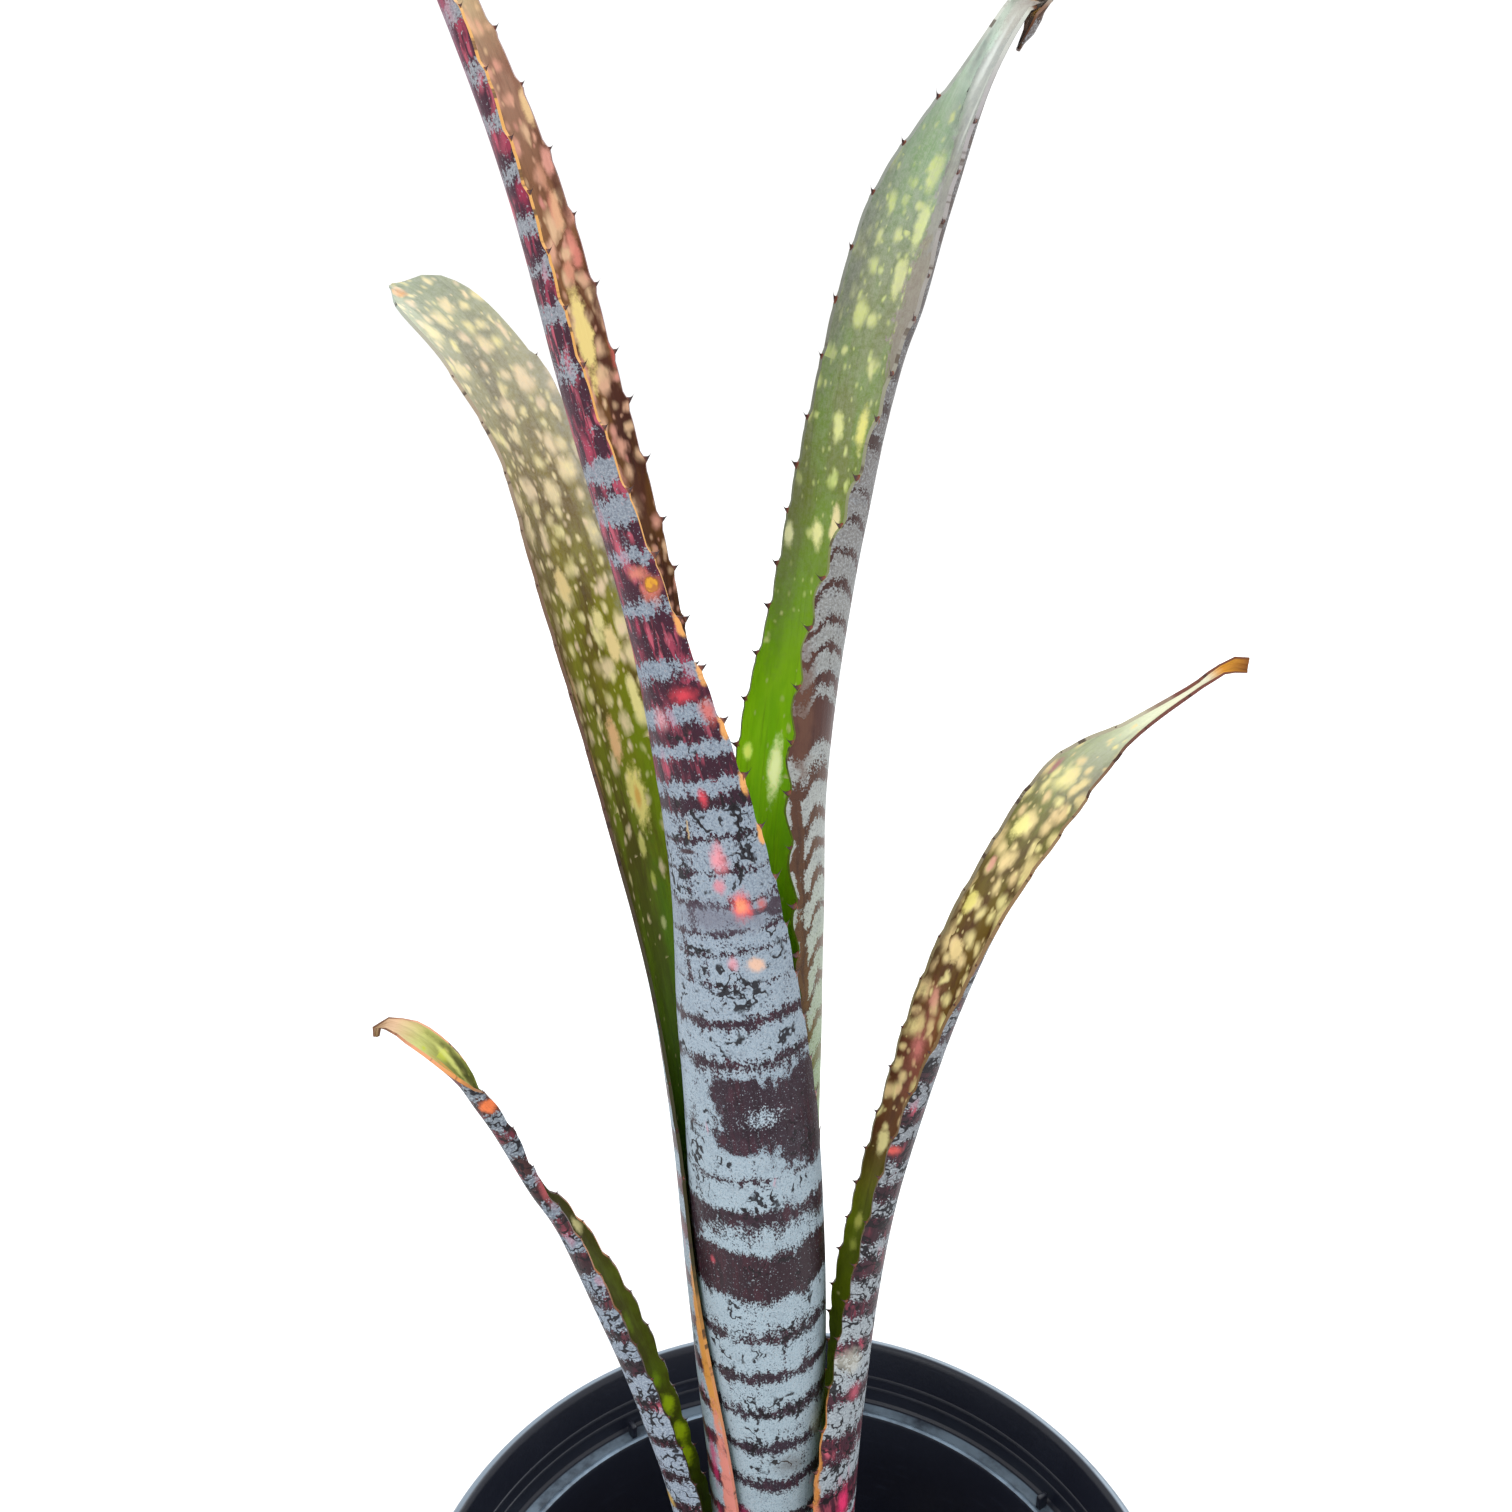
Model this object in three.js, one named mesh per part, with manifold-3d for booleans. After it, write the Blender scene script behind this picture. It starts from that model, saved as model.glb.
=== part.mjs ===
// A billbergia, a tank bromeliad, in a round nursery pot.
// Five leaves are rolled round one another into a tube above a short stem and arch out of it at the top. The stem
// stands in a hole in the potting mix, and the mix fills the lower part of a thin moulded plastic pot.
// Millimetres, +Z up. The origin is the middle of the pot's flat underside.
import * as THREE from "three";
import { mergeVertices } from "three/addons/utils/BufferGeometryUtils.js";
import Module from "manifold-3d";

// Driving dimensions of the pot
const POT_HEIGHT = 130;
const RIM_RADIUS = 78;
const BASE_RADIUS = 56;
const WALL = 1.4;
const FLOOR = 2;
const COLLAR_DEPTH = 14; // from the rim down to the ledge that a stacked pot rests on
const COLLAR_TOP_RADIUS = 75; // inside of the collar, just under the lip
const COLLAR_FOOT_RADIUS = 71.3;
const BODY_TOP_RADIUS = 65.8; // inside of the body, where the ledge ends
const LUGS = { count: 4, firstAngle: 33, radius: 68.6, length: 3, width: 1.8, height: 4 };
const DRAINS = { count: 8, radius: 42, holeRadius: 6.5 };

// Driving dimensions of the mix, the stem and the blades
const CLEARANCE = 0.3;
const MIX_TOP = 84.6;
const PLANT_X = -2.5; // the plant stands a little off the middle of its pot
const STEM = { radius: 6.4, bottom: 60, top: 96 };
const BLADE_MIDDLE = 1.0; // thickness along the midrib
const BLADE_EDGE = 0.7; // thickness at the margins
const TOOTH = { height: 2.2, width: 2.2, lean: 1.1, tip: 0.3, scallop: 0.7 };

// Each leaf is a blade rolled about its midrib, given at stations from its base to its tip. A station holds the
// midrib's x, y and z, the compass angle of the blade's back seen from above, how far its open side tilts up,
// half of its flat width and half of the angle that it wraps. Teeth stand on both margins, between the two
// lengths along the midrib, and columns is how many strips the blade is divided into across its width.
const LEAVES = [
  {
    name: "leaf_front",
    colour: 0x7d7480,
    columns: 8,
    teeth: { from: 158, to: 366, pitch: 12 },
    stations: [
      [-5.7, -8.7, 85, 250, 0, 17.5, 105],
      [-6.6, -9.1, 130, 250, 0, 17.3, 105],
      [-8.3, -10, 175, 250, 0, 18, 103],
      [-10.4, -10.9, 212, 250, 0, 19.7, 100],
      [-12.8, -10.2, 245, 244, 0, 19.4, 97],
      [-16.2, -8, 275, 233, 0, 17.6, 95],
      [-21.2, -3.4, 310, 206, 0, 14.6, 95],
      [-27.4, 2, 341, 178, 0, 11.2, 91],
      [-34.6, 6.3, 370, 164, 0, 9.3, 84],
      [-41.2, 9.7, 397, 160, 0, 7.6, 80],
      [-49.8, 11.5, 422, 164, 0, 5, 80],
      [-64, 14, 455, 165, 0, 0.5, 70],
    ],
  },
  {
    name: "leaf_back_right",
    colour: 0x6d8450,
    columns: 6,
    teeth: { from: 172, to: 330, pitch: 12 },
    stations: [
      [2.8, 5.3, 85, 45, 0, 11.6, 88],
      [2, 5.1, 130, 45, 0, 11.6, 88],
      [0.9, 5.1, 175, 45, 0, 12.4, 88],
      [0.1, 6.5, 212, 45, 0, 13.6, 86],
      [0.4, 9.6, 250, 44, 0, 14, 88],
      [1.2, 11.3, 285, 36, 0, 15.2, 88],
      [2.6, 15.2, 311, 26, 0, 15.2, 90],
      [6, 18.6, 335, 25, 0, 12.9, 92],
      [10.4, 27, 367, 54, 0, 9.6, 84],
      [14, 31.2, 382, 64, 0, 9.9, 84],
      [18.8, 34, 396, 58, 0, 8.7, 82],
      [26.2, 36.5, 413, 60, 0, 3.7, 80],
      [32.7, 38, 424, 60, 0, 2.2, 70],
      [35.4, 38.5, 423.6, 40, 0.5, 2.9, 66],
      [34.4, 38.2, 420.6, 10, 0.5, 2.1, 60],
      [32.2, 37.6, 417.6, 10, 0.5, 0.5, 60],
    ],
  },
  {
    name: "leaf_back_left",
    colour: 0x7c7a45,
    columns: 8,
    teeth: { from: 165, to: 300, pitch: 12 },
    stations: [
      [-12, 5.4, 85, 152, 0, 18, 95],
      [-13, 5.2, 130, 152, 0, 18.2, 94],
      [-14.5, 5.5, 170, 149, 0, 18.2, 86],
      [-16.3, 8.4, 212, 138, 0, 17.4, 77],
      [-18.2, 12, 245, 135, 0, 14.6, 66],
      [-22, 18, 275, 133, 0, 13.8, 58],
      [-29, 24.5, 308, 131, 0, 13.4, 52],
      [-38.3, 30.5, 341, 130, 0, 11.4, 46],
      [-45.2, 34.5, 359, 132, 0.12, 8.6, 42],
      [-53.8, 38, 372.5, 134, 0.3, 8, 38],
      [-62, 41, 380.5, 136, 0.5, 6.6, 30],
      [-67.7, 43, 383, 136, 0.6, 0.6, 20],
    ],
  },
  {
    name: "leaf_right",
    colour: 0x8d7a70,
    columns: 6,
    teeth: { from: 112, to: 240, pitch: 12 },
    stations: [
      [10, -2.2, 85, -10, 0, 16, 72],
      [10, -2, 130, -8, 0, 15.6, 71],
      [10.9, -1.6, 166, -5, 0, 14.4, 67],
      [12.2, -1.2, 190, -5, 0, 12.3, 67],
      [13.7, -0.3, 212, 4, 0, 9.4, 90],
      [16.5, -0.3, 234, 8, 0, 7.8, 92],
      [20.9, 0.8, 254, 14, 0, 7.3, 92],
      [25.3, 2.6, 273, 36, 0, 6.2, 86],
      [31.2, 4.6, 291, 62, 0.1, 5, 74],
      [41.9, 7.5, 309.5, 78, 0.25, 4.6, 58],
      [51.6, 9, 317.5, 78, 0.3, 1.9, 72],
      [61.5, 9, 324.9, 74, 0.3, 0.8, 80],
      [66.2, 8.5, 328.7, 66, 0.3, 1.2, 60],
      [69.4, 8, 328.7, 60, 0.3, 1.25, 50],
    ],
  },
  {
    name: "leaf_left",
    colour: 0x84797c,
    columns: 6,
    teeth: { from: 78, to: 182, pitch: 12 },
    stations: [
      [-15.1, -2.2, 85, 190, 0, 13.4, 60],
      [-17.6, -1.9, 130, 186, 0, 12, 60],
      [-23.7, -3.2, 166, 188, 0, 9.2, 78],
      [-28.8, -4, 189, 184, 0, 8, 88],
      [-34.9, -4.9, 211, 182, 0, 6.9, 90],
      [-41.2, -6.2, 231, 190, 0, 4.1, 88],
      [-45.7, -7.6, 241.2, 208, 0, 2.5, 88],
      [-50.6, -8.2, 253.2, 226, 0.1, 2.6, 88],
      [-53.9, -8, 259, 212, 0.3, 2.9, 82],
      [-56.4, -7.4, 263.6, 172, 0.5, 2.7, 66],
      [-59.4, -7, 268, 134, 0.7, 2.3, 50],
      [-63.2, -6.8, 271.4, 118, 0.8, 2.1, 46],
      [-66.7, -7, 273.2, 118, 0.8, 1.1, 46],
      [-68.5, -7.1, 273.2, 125, 0.8, 0.7, 50],
      [-69, -7.2, 271.2, 130, 0.8, 0.5, 50],
    ],
  },
];

const wasm = await Module();
wasm.setup();
const radians = THREE.MathUtils.degToRad;

// Booleans

function solid(geometry) {
  const bare = new THREE.BufferGeometry();
  bare.setAttribute("position", geometry.toNonIndexed().getAttribute("position"));
  const merged = mergeVertices(bare, 1e-4);
  const mesh = new wasm.Mesh({
    numProp: 3,
    vertProperties: new Float32Array(merged.attributes.position.array),
    triVerts: new Uint32Array(merged.index.array),
  });
  return new wasm.Manifold(mesh);
}

function geometryOf(body) {
  const mesh = body.getMesh();
  const geometry = new THREE.BufferGeometry();
  geometry.setAttribute("position", new THREE.BufferAttribute(mesh.vertProperties, 3));
  geometry.setIndex(new THREE.BufferAttribute(mesh.triVerts, 1));
  geometry.computeVertexNormals();
  return geometry;
}

// A closed body turned about the Z axis from [radius, height] points
function turned(points, segments) {
  const profile = points.map(([radius, height]) => new THREE.Vector2(radius, height));
  return new THREE.LatheGeometry(profile, segments).rotateX(Math.PI / 2);
}

function upright(radius, bottom, top, sides, x = 0, y = 0) {
  const height = top - bottom;
  const cylinder = new THREE.CylinderGeometry(radius, radius, height, sides);
  return cylinder.rotateX(Math.PI / 2).translate(x, y, bottom + height / 2);
}

// Pot: one thin moulded shell with a collar, a rolled lip, four stacking lugs and drain holes in its floor

const LEDGE = POT_HEIGHT - COLLAR_DEPTH;

function innerRadius(height) {
  const rise = (height - FLOOR) / (LEDGE - FLOOR);
  return THREE.MathUtils.lerp(BASE_RADIUS - WALL, BODY_TOP_RADIUS, rise);
}

function pot() {
  const lip = 1.5;
  const shell = turned(
    [
      [0, 0],
      [BASE_RADIUS - 1, 0],
      [BASE_RADIUS, 1],
      [BODY_TOP_RADIUS + WALL, LEDGE - WALL],
      [COLLAR_FOOT_RADIUS + WALL, LEDGE - WALL],
      [COLLAR_TOP_RADIUS + WALL, POT_HEIGHT - 2 * lip],
      [RIM_RADIUS - 0.4, POT_HEIGHT - 2 * lip],
      [RIM_RADIUS, POT_HEIGHT - lip],
      [RIM_RADIUS - 0.7, POT_HEIGHT - 0.3],
      [RIM_RADIUS - lip, POT_HEIGHT],
      [COLLAR_TOP_RADIUS + 0.5, POT_HEIGHT - 0.5],
      [COLLAR_TOP_RADIUS, POT_HEIGHT - lip],
      [COLLAR_FOOT_RADIUS, LEDGE],
      [BODY_TOP_RADIUS, LEDGE],
      [innerRadius(FLOOR), FLOOR],
      [0, FLOOR],
    ],
    60,
  );
  let body = solid(shell);
  for (let i = 0; i < LUGS.count; i++) {
    const lug = new THREE.BoxGeometry(LUGS.length, LUGS.width, LUGS.height);
    lug.translate(LUGS.radius, 0, LEDGE + LUGS.height / 2 - 0.5);
    lug.rotateZ(radians(LUGS.firstAngle + (360 / LUGS.count) * i));
    body = body.add(solid(lug));
  }
  for (let i = 0; i < DRAINS.count; i++) {
    const angle = (2 * Math.PI * i) / DRAINS.count;
    const x = DRAINS.radius * Math.cos(angle);
    const y = DRAINS.radius * Math.sin(angle);
    body = body.subtract(solid(upright(DRAINS.holeRadius, -1, FLOOR + 1, 20, x, y)));
  }
  return geometryOf(body);
}

// Potting mix: fills the pot to MIX_TOP, lumpy on top, with a plain hole for the stem

function lump(x, y) {
  const away = THREE.MathUtils.smoothstep(Math.hypot(x - PLANT_X, y), 20, 34);
  const waves = Math.sin(x * 0.31 + 1.3 * Math.sin(y * 0.17)) * Math.cos(y * 0.27 - 0.6);
  return away * (1.3 * waves - 1);
}

function pottingMix() {
  const bottom = FLOOR + CLEARANCE;
  const gap = 2 * CLEARANCE;
  const rings = [52, 44, 36, 28, 20];
  const profile = [
    [0, bottom],
    [innerRadius(bottom) - gap, bottom],
    [innerRadius(MIX_TOP) - gap, MIX_TOP],
    ...rings.map((radius) => [radius, MIX_TOP]),
    [0, MIX_TOP],
  ];
  const filling = turned(profile, 40);
  const place = filling.getAttribute("position");
  for (let i = 0; i < place.count; i++) {
    if (Math.abs(place.getZ(i) - MIX_TOP) < 0.01) {
      place.setZ(i, MIX_TOP + lump(place.getX(i), place.getY(i)));
    }
  }
  const hole = upright(STEM.radius + CLEARANCE, STEM.bottom - CLEARANCE, MIX_TOP + 5, 32, PLANT_X);
  return geometryOf(solid(filling).subtract(solid(hole)));
}

// Stem: short and stout, with a rounded top, hidden by the leaf bases that clasp it

function stem() {
  const { radius, bottom, top } = STEM;
  const profile = [
    [0, bottom],
    [radius - 1, bottom],
    [radius, bottom + 1],
    [radius, top - 4],
    [radius * 0.8, top - 1.4],
    [radius * 0.4, top - 0.2],
    [0, top],
  ];
  return turned(profile, 32).translate(PLANT_X, 0, 0);
}

// Leaves

// Value k of the stations at u, on a curve that passes through every station
function along(stations, k, u) {
  const last = stations.length - 1;
  const i = Math.min(Math.floor(u), last - 1);
  const f = u - i;
  const at = (j) => {
    if (j < 0) return 2 * stations[0][k] - stations[1][k];
    if (j > last) return 2 * stations[last][k] - stations[last - 1][k];
    return stations[j][k];
  };
  const [a, b, c, d] = [at(i - 1), at(i), at(i + 1), at(i + 2)];
  const square = 2 * a - 5 * b + 4 * c - d;
  const cube = 3 * b - a - 3 * c + d;
  return 0.5 * (2 * b + (c - a) * f + square * f * f + cube * f * f * f);
}

// Each station with its opening direction as a vector in place of the two angles
function controls(leaf) {
  return leaf.stations.map(([x, y, z, back, tilt, half, wrap]) => {
    const opening = new THREE.Vector3(-Math.cos(radians(back)), -Math.sin(radians(back)), tilt);
    opening.normalize();
    return [x, y, z, opening.x, opening.y, opening.z, half, wrap];
  });
}

// The lengths along the midrib at which the blade is divided, and how far its margin stands out at each
function divisions(leaf, length) {
  const { from, to, pitch } = leaf.teeth;
  const spans = (first, last, step) => {
    const count = Math.max(1, Math.round((last - first) / step));
    return Array.from({ length: count }, (_, i) => ({ at: first + ((last - first) * i) / count, out: 0 }));
  };
  const teeth = [];
  for (let at = from; at < to - pitch / 2; at += pitch) {
    teeth.push({ at, out: 0 });
    teeth.push({ at: at + TOOTH.lean + TOOTH.width / 2, out: TOOTH.height, tip: true });
    teeth.push({ at: at + TOOTH.width, out: 0 });
    teeth.push({ at: at + (pitch + TOOTH.width) / 2, out: TOOTH.scallop });
  }
  teeth.sort((a, b) => a.at - b.at);
  const end = teeth[teeth.length - 1].at + pitch / 3;
  return [...spans(0, from, 16), ...teeth, ...spans(end, length, 7), { at: length, out: 0 }];
}

// The midrib point and the blade's axes at u
function frameAt(rows, u) {
  const read = (k, w) => along(rows, k, w);
  const point = (w) => new THREE.Vector3(read(0, w), read(1, w), read(2, w));
  const step = 1e-3;
  const ahead = point(Math.min(u + step, rows.length - 1));
  const tangent = ahead.sub(point(Math.max(u - step, 0))).normalize();
  const inward = new THREE.Vector3(read(3, u), read(4, u), read(5, u));
  inward.addScaledVector(tangent, -inward.dot(tangent)).normalize();
  const across = new THREE.Vector3().crossVectors(tangent, inward);
  return { origin: point(u), tangent, inward, across };
}

// u for each length along the midrib
function measure(rows) {
  const steps = 400;
  const table = [{ u: 0, s: 0 }];
  let before = frameAt(rows, 0).origin;
  for (let i = 1; i <= steps; i++) {
    const u = ((rows.length - 1) * i) / steps;
    const here = frameAt(rows, u).origin;
    table.push({ u, s: table[i - 1].s + here.distanceTo(before) });
    before = here;
  }
  const total = table[steps].s;
  const find = (s) => {
    const i = Math.max(1, table.findIndex((row) => row.s >= Math.min(s, total) - 1e-9));
    const [p, q] = [table[i - 1], table[i]];
    return p.u + ((s - p.s) / (q.s - p.s)) * (q.u - p.u);
  };
  return { total, find };
}

// A closed blade: an outer and an inner face on one grid, split alike, joined along the margins and at the ends
function blade(leaf) {
  const rows = controls(leaf);
  const { total, find } = measure(rows);
  const cuts = divisions(leaf, total);
  const n = leaf.columns;
  const positions = [];
  for (const cut of cuts) {
    const u = find(cut.at);
    const { origin, inward, across } = frameAt(rows, u);
    const half = Math.max(along(rows, 6, u), 0.2);
    const wrap = radians(Math.max(along(rows, 7, u), 3));
    const radius = half / wrap;
    for (const face of [-0.5, 0.5]) {
      for (let j = 0; j <= n; j++) {
        const v = (2 * j) / n - 1;
        const margin = j === 0 || j === n;
        const angle = v * wrap;
        const thick = margin && cut.tip ? TOOTH.tip : BLADE_EDGE + (BLADE_MIDDLE - BLADE_EDGE) * (1 - v * v);
        const normal = inward.clone().multiplyScalar(Math.cos(angle)).addScaledVector(across, -Math.sin(angle));
        const sideways = across.clone().multiplyScalar(Math.cos(angle)).addScaledVector(inward, Math.sin(angle));
        const p = origin.clone().addScaledVector(inward, radius * (1 - Math.cos(angle)));
        p.addScaledVector(across, radius * Math.sin(angle)).addScaledVector(normal, face * thick);
        if (margin) p.addScaledVector(sideways, Math.sign(v) * Math.min(cut.out, half * 0.6));
        positions.push(p.x, p.y, p.z);
      }
    }
  }
  const ring = 2 * (n + 1);
  const outer = (i, j) => i * ring + j;
  const inner = (i, j) => i * ring + n + 1 + j;
  const index = [];
  const quad = (a, b, c, d) => index.push(a, b, c, a, c, d);
  const lastCut = cuts.length - 1;
  for (let i = 0; i < lastCut; i++) {
    for (let j = 0; j < n; j++) {
      quad(outer(i, j), outer(i + 1, j), outer(i + 1, j + 1), outer(i, j + 1));
      index.push(inner(i, j), inner(i, j + 1), inner(i + 1, j + 1));
      index.push(inner(i, j), inner(i + 1, j + 1), inner(i + 1, j));
    }
    quad(outer(i, 0), inner(i, 0), inner(i + 1, 0), outer(i + 1, 0));
    quad(outer(i, n), outer(i + 1, n), inner(i + 1, n), inner(i, n));
  }
  for (let j = 0; j < n; j++) {
    quad(outer(0, j), outer(0, j + 1), inner(0, j + 1), inner(0, j));
    quad(outer(lastCut, j), inner(lastCut, j), inner(lastCut, j + 1), outer(lastCut, j + 1));
  }
  const geometry = new THREE.BufferGeometry();
  geometry.setAttribute("position", new THREE.Float32BufferAttribute(positions, 3));
  geometry.setIndex(index);
  geometry.computeVertexNormals();
  return geometry;
}

// The assembly

const group = new THREE.Group();

function place(name, geometry, colour, roughness) {
  const material = new THREE.MeshStandardMaterial({ color: colour, roughness, metalness: 0 });
  const mesh = new THREE.Mesh(geometry, material);
  mesh.name = name;
  group.add(mesh);
}

place("pot", pot(), 0x1c1b1f, 0.45);
place("potting_mix", pottingMix(), 0x3a2b20, 0.95);
place("stem", stem(), 0x6b5a3a, 0.8);
for (const leaf of LEAVES) place(leaf.name, blade(leaf), leaf.colour, 0.55);

export default group;
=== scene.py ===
# A billbergia in a round nursery pot: five leaves rolled round one another into a tube over a short stem, in
# potting mix. Metres, +Z up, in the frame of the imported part.
import math
import random

import bpy
import numpy as np
from mathutils import Matrix, Vector, noise


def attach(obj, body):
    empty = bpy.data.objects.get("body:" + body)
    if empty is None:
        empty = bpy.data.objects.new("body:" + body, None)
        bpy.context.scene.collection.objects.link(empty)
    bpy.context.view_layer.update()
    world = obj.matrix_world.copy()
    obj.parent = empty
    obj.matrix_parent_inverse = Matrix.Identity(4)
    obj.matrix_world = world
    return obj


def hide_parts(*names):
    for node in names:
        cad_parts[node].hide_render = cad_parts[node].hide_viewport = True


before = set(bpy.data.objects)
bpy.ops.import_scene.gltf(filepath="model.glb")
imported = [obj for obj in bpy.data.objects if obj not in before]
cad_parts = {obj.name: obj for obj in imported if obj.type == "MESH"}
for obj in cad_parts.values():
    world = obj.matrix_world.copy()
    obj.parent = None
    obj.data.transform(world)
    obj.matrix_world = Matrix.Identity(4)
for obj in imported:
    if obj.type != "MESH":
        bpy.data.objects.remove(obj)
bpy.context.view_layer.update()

# Pot
# A thin injection moulded pot of black plastic with a slight blue cast. Its collar is wider than its body, so that
# a ledge runs round the inside for the next pot of a stack, and four small lugs on that ledge keep the stack loose.
MM = 0.001
POT_SIDES, POT_FOOT, POT_SMOOTH_ANGLE = 144, 55, 32
RIM, LIP_HEIGHT, LEDGE, FLOOR = 130, 1.5, 116, 2
COLLAR_TOP, COLLAR_FOOT = 75, 71.3
BODY_TOP, FLOOR_RADIUS = 65.8, 54.6


def collar_radius(height):
    """The radius inside the collar, which widens from the ledge up to the lip"""
    return COLLAR_FOOT + (COLLAR_TOP - COLLAR_FOOT) * (height - LEDGE) / (RIM - LIP_HEIGHT - LEDGE)


def fine_ridge(height, stands_in=0.25, tall=0.6):
    """Profile points of a narrow raised line round the inside of the collar"""
    top, foot = height + tall / 2, height - tall / 2
    crest = [(collar_radius(top) - stands_in, top - 0.12), (collar_radius(foot) - stands_in, foot + 0.12)]
    return [(collar_radius(top), top), *crest, (collar_radius(foot), foot)]


POT_PROFILE = [(55.8, 0.25), (56, 1), (67.2, LEDGE - 1.4), (72.4, LEDGE - 1.4), (72.8, LEDGE - 1), (76.3, 126.4)]
POT_PROFILE += [(76.5, 126.9), (77.3, 127), (77.8, 127.4), (78, 128.3), (77.85, 129.1), (77.4, 129.7), (76.7, 130)]
POT_PROFILE += [(76, 129.9), (75.4, 129.5), (75, 128.7), *fine_ridge(122), *fine_ridge(119.4)]
POT_PROFILE += [(COLLAR_FOOT + 0.1, LEDGE + 0.5), (COLLAR_FOOT - 0.5, LEDGE), (BODY_TOP + 2, LEDGE)]
POT_PROFILE += [(BODY_TOP + 1.7, LEDGE + 0.35), (BODY_TOP + 1, LEDGE + 0.6), (BODY_TOP + 0.4, LEDGE + 0.45)]
POT_PROFILE += [(BODY_TOP, LEDGE - 0.2), (BODY_TOP - 1.5, 100), (FLOOR_RADIUS + 0.1, FLOOR + 0.8)]
POT_PROFILE += [(FLOOR_RADIUS - 0.8, FLOOR)]


def only(*pieces):
    """Selects these objects alone and makes the last one active"""
    bpy.ops.object.select_all(action="DESELECT")
    for piece in pieces:
        piece.select_set(True)
    bpy.context.view_layer.objects.active = pieces[-1]


def edit_all():
    """Applies the new object's place and size, and selects all of it in edit mode"""
    bpy.ops.object.transform_apply()
    bpy.ops.object.mode_set(mode="EDIT")
    bpy.ops.mesh.select_all(action="SELECT")
    return bpy.context.object


def start_disc(name, sides, radius, height):
    """A flat disc in edit mode, ready to be drawn up into a turned shape"""
    place = (0, 0, height * MM)
    bpy.ops.mesh.primitive_circle_add(vertices=sides, radius=radius * MM, fill_type="NGON", location=place)
    bpy.context.object.name = name
    return edit_all()


def block(length, width, height, place=(0, 0, 0)):
    """A box of this size in edit mode"""
    bpy.ops.mesh.primitive_cube_add(size=1, location=place)
    bpy.context.object.scale = (length * MM, width * MM, height * MM)
    return edit_all()


def draw_up(before, profile):
    """Extrudes the selected disc from one ring of the profile to the next"""
    for radius, height in profile:
        bpy.ops.mesh.extrude_region_move(TRANSFORM_OT_translate={"value": (0, 0, (height - before[1]) * MM)})
        ratio = radius / before[0]
        bpy.ops.transform.resize(value=(ratio, ratio, 1), center_override=(0, 0, 0))
        before = (radius, height)


def smooth(angle):
    """Smooths all edges of the active object that are flatter than this angle"""
    bpy.ops.object.shade_smooth_by_angle(angle=math.radians(angle))


def finish_edit(piece, angle):
    """Turns the faces outwards, leaves edit mode and smooths the piece"""
    bpy.ops.mesh.select_all(action="SELECT")
    bpy.ops.mesh.normals_make_consistent(inside=False)
    bpy.ops.object.mode_set(mode="OBJECT")
    only(piece)
    smooth(angle)


def join(*pieces):
    """Joins these objects into the last one"""
    only(*pieces)
    bpy.ops.object.join()


pot = start_disc("nursery_pot", POT_SIDES, POT_FOOT, 0)
draw_up((POT_FOOT, 0), POT_PROFILE)
finish_edit(pot, POT_SMOOTH_ANGLE)

DRAINS, DRAIN_CIRCLE, DRAIN_RADIUS, DRAIN_SIDES = 8, 42, 6.5, 40
cutters = []
for i in range(DRAINS):
    around = 2 * math.pi * i / DRAINS
    place = (DRAIN_CIRCLE * MM * math.cos(around), DRAIN_CIRCLE * MM * math.sin(around), FLOOR / 2 * MM)
    bpy.ops.mesh.primitive_cylinder_add(
        vertices=DRAIN_SIDES, radius=DRAIN_RADIUS * MM, depth=3 * FLOOR * MM, location=place
    )
    cutters.append(bpy.context.object)
join(*cutters)
drain_cutter = bpy.context.object
only(pot)
holes = pot.modifiers.new("drain_holes", "BOOLEAN")
holes.operation = "DIFFERENCE"
holes.solver = "EXACT"
holes.object = drain_cutter
bpy.ops.object.modifier_apply(modifier=holes.name)
bpy.data.objects.remove(drain_cutter)

LUGS, LUG_RADIUS, LUG_LENGTH, LUG_WIDTH, LUG_HEIGHT, FIRST_LUG = 4, 68.9, 2.6, 1.3, 4, 33
lugs = []
for i in range(LUGS):
    lug = block(LUG_LENGTH, LUG_WIDTH, LUG_HEIGHT, (LUG_RADIUS * MM, 0, (LEDGE + LUG_HEIGHT / 2 - 0.5) * MM))
    bpy.ops.mesh.bevel(offset=0.35 * MM, segments=3, affect="EDGES")
    bpy.ops.object.mode_set(mode="OBJECT")
    lug.data.transform(Matrix.Rotation(math.radians(FIRST_LUG + 360 / LUGS * i), 4, "Z"))
    lugs.append(lug)
join(*lugs, pot)
smooth(POT_SMOOTH_ANGLE)


class Value:
    """A number, vector or colour in a shader's node tree. Reckoning with it adds the nodes that this takes"""

    def __init__(self, tree, node, output=0):
        self.tree, self.node, self.socket = tree, node, node.outputs[output]

    def __getitem__(self, output):
        return Value(self.tree, self.node, output)

    def maths(self, operation, *others):
        return add(self.tree, "Math", dict(enumerate((self, *others))), operation=operation)

    def vector(self, operation, *others):
        return add(self.tree, "VectorMath", dict(enumerate((self, *others))), operation=operation)

    def __add__(self, other):
        return self.maths("ADD", other)

    def __sub__(self, other):
        return self.maths("SUBTRACT", other)

    def __rsub__(self, other):
        return add(self.tree, "Math", {0: other, 1: self}, operation="SUBTRACT")

    def __mul__(self, other):
        return self.maths("MULTIPLY", other)

    def __truediv__(self, other):
        return self.maths("DIVIDE", other)

    def scaled(self, factor, offset):
        return self.maths("MULTIPLY_ADD", factor, offset)

    def feed(self, socket):
        self.tree.links.new(self.socket, socket)


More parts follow.
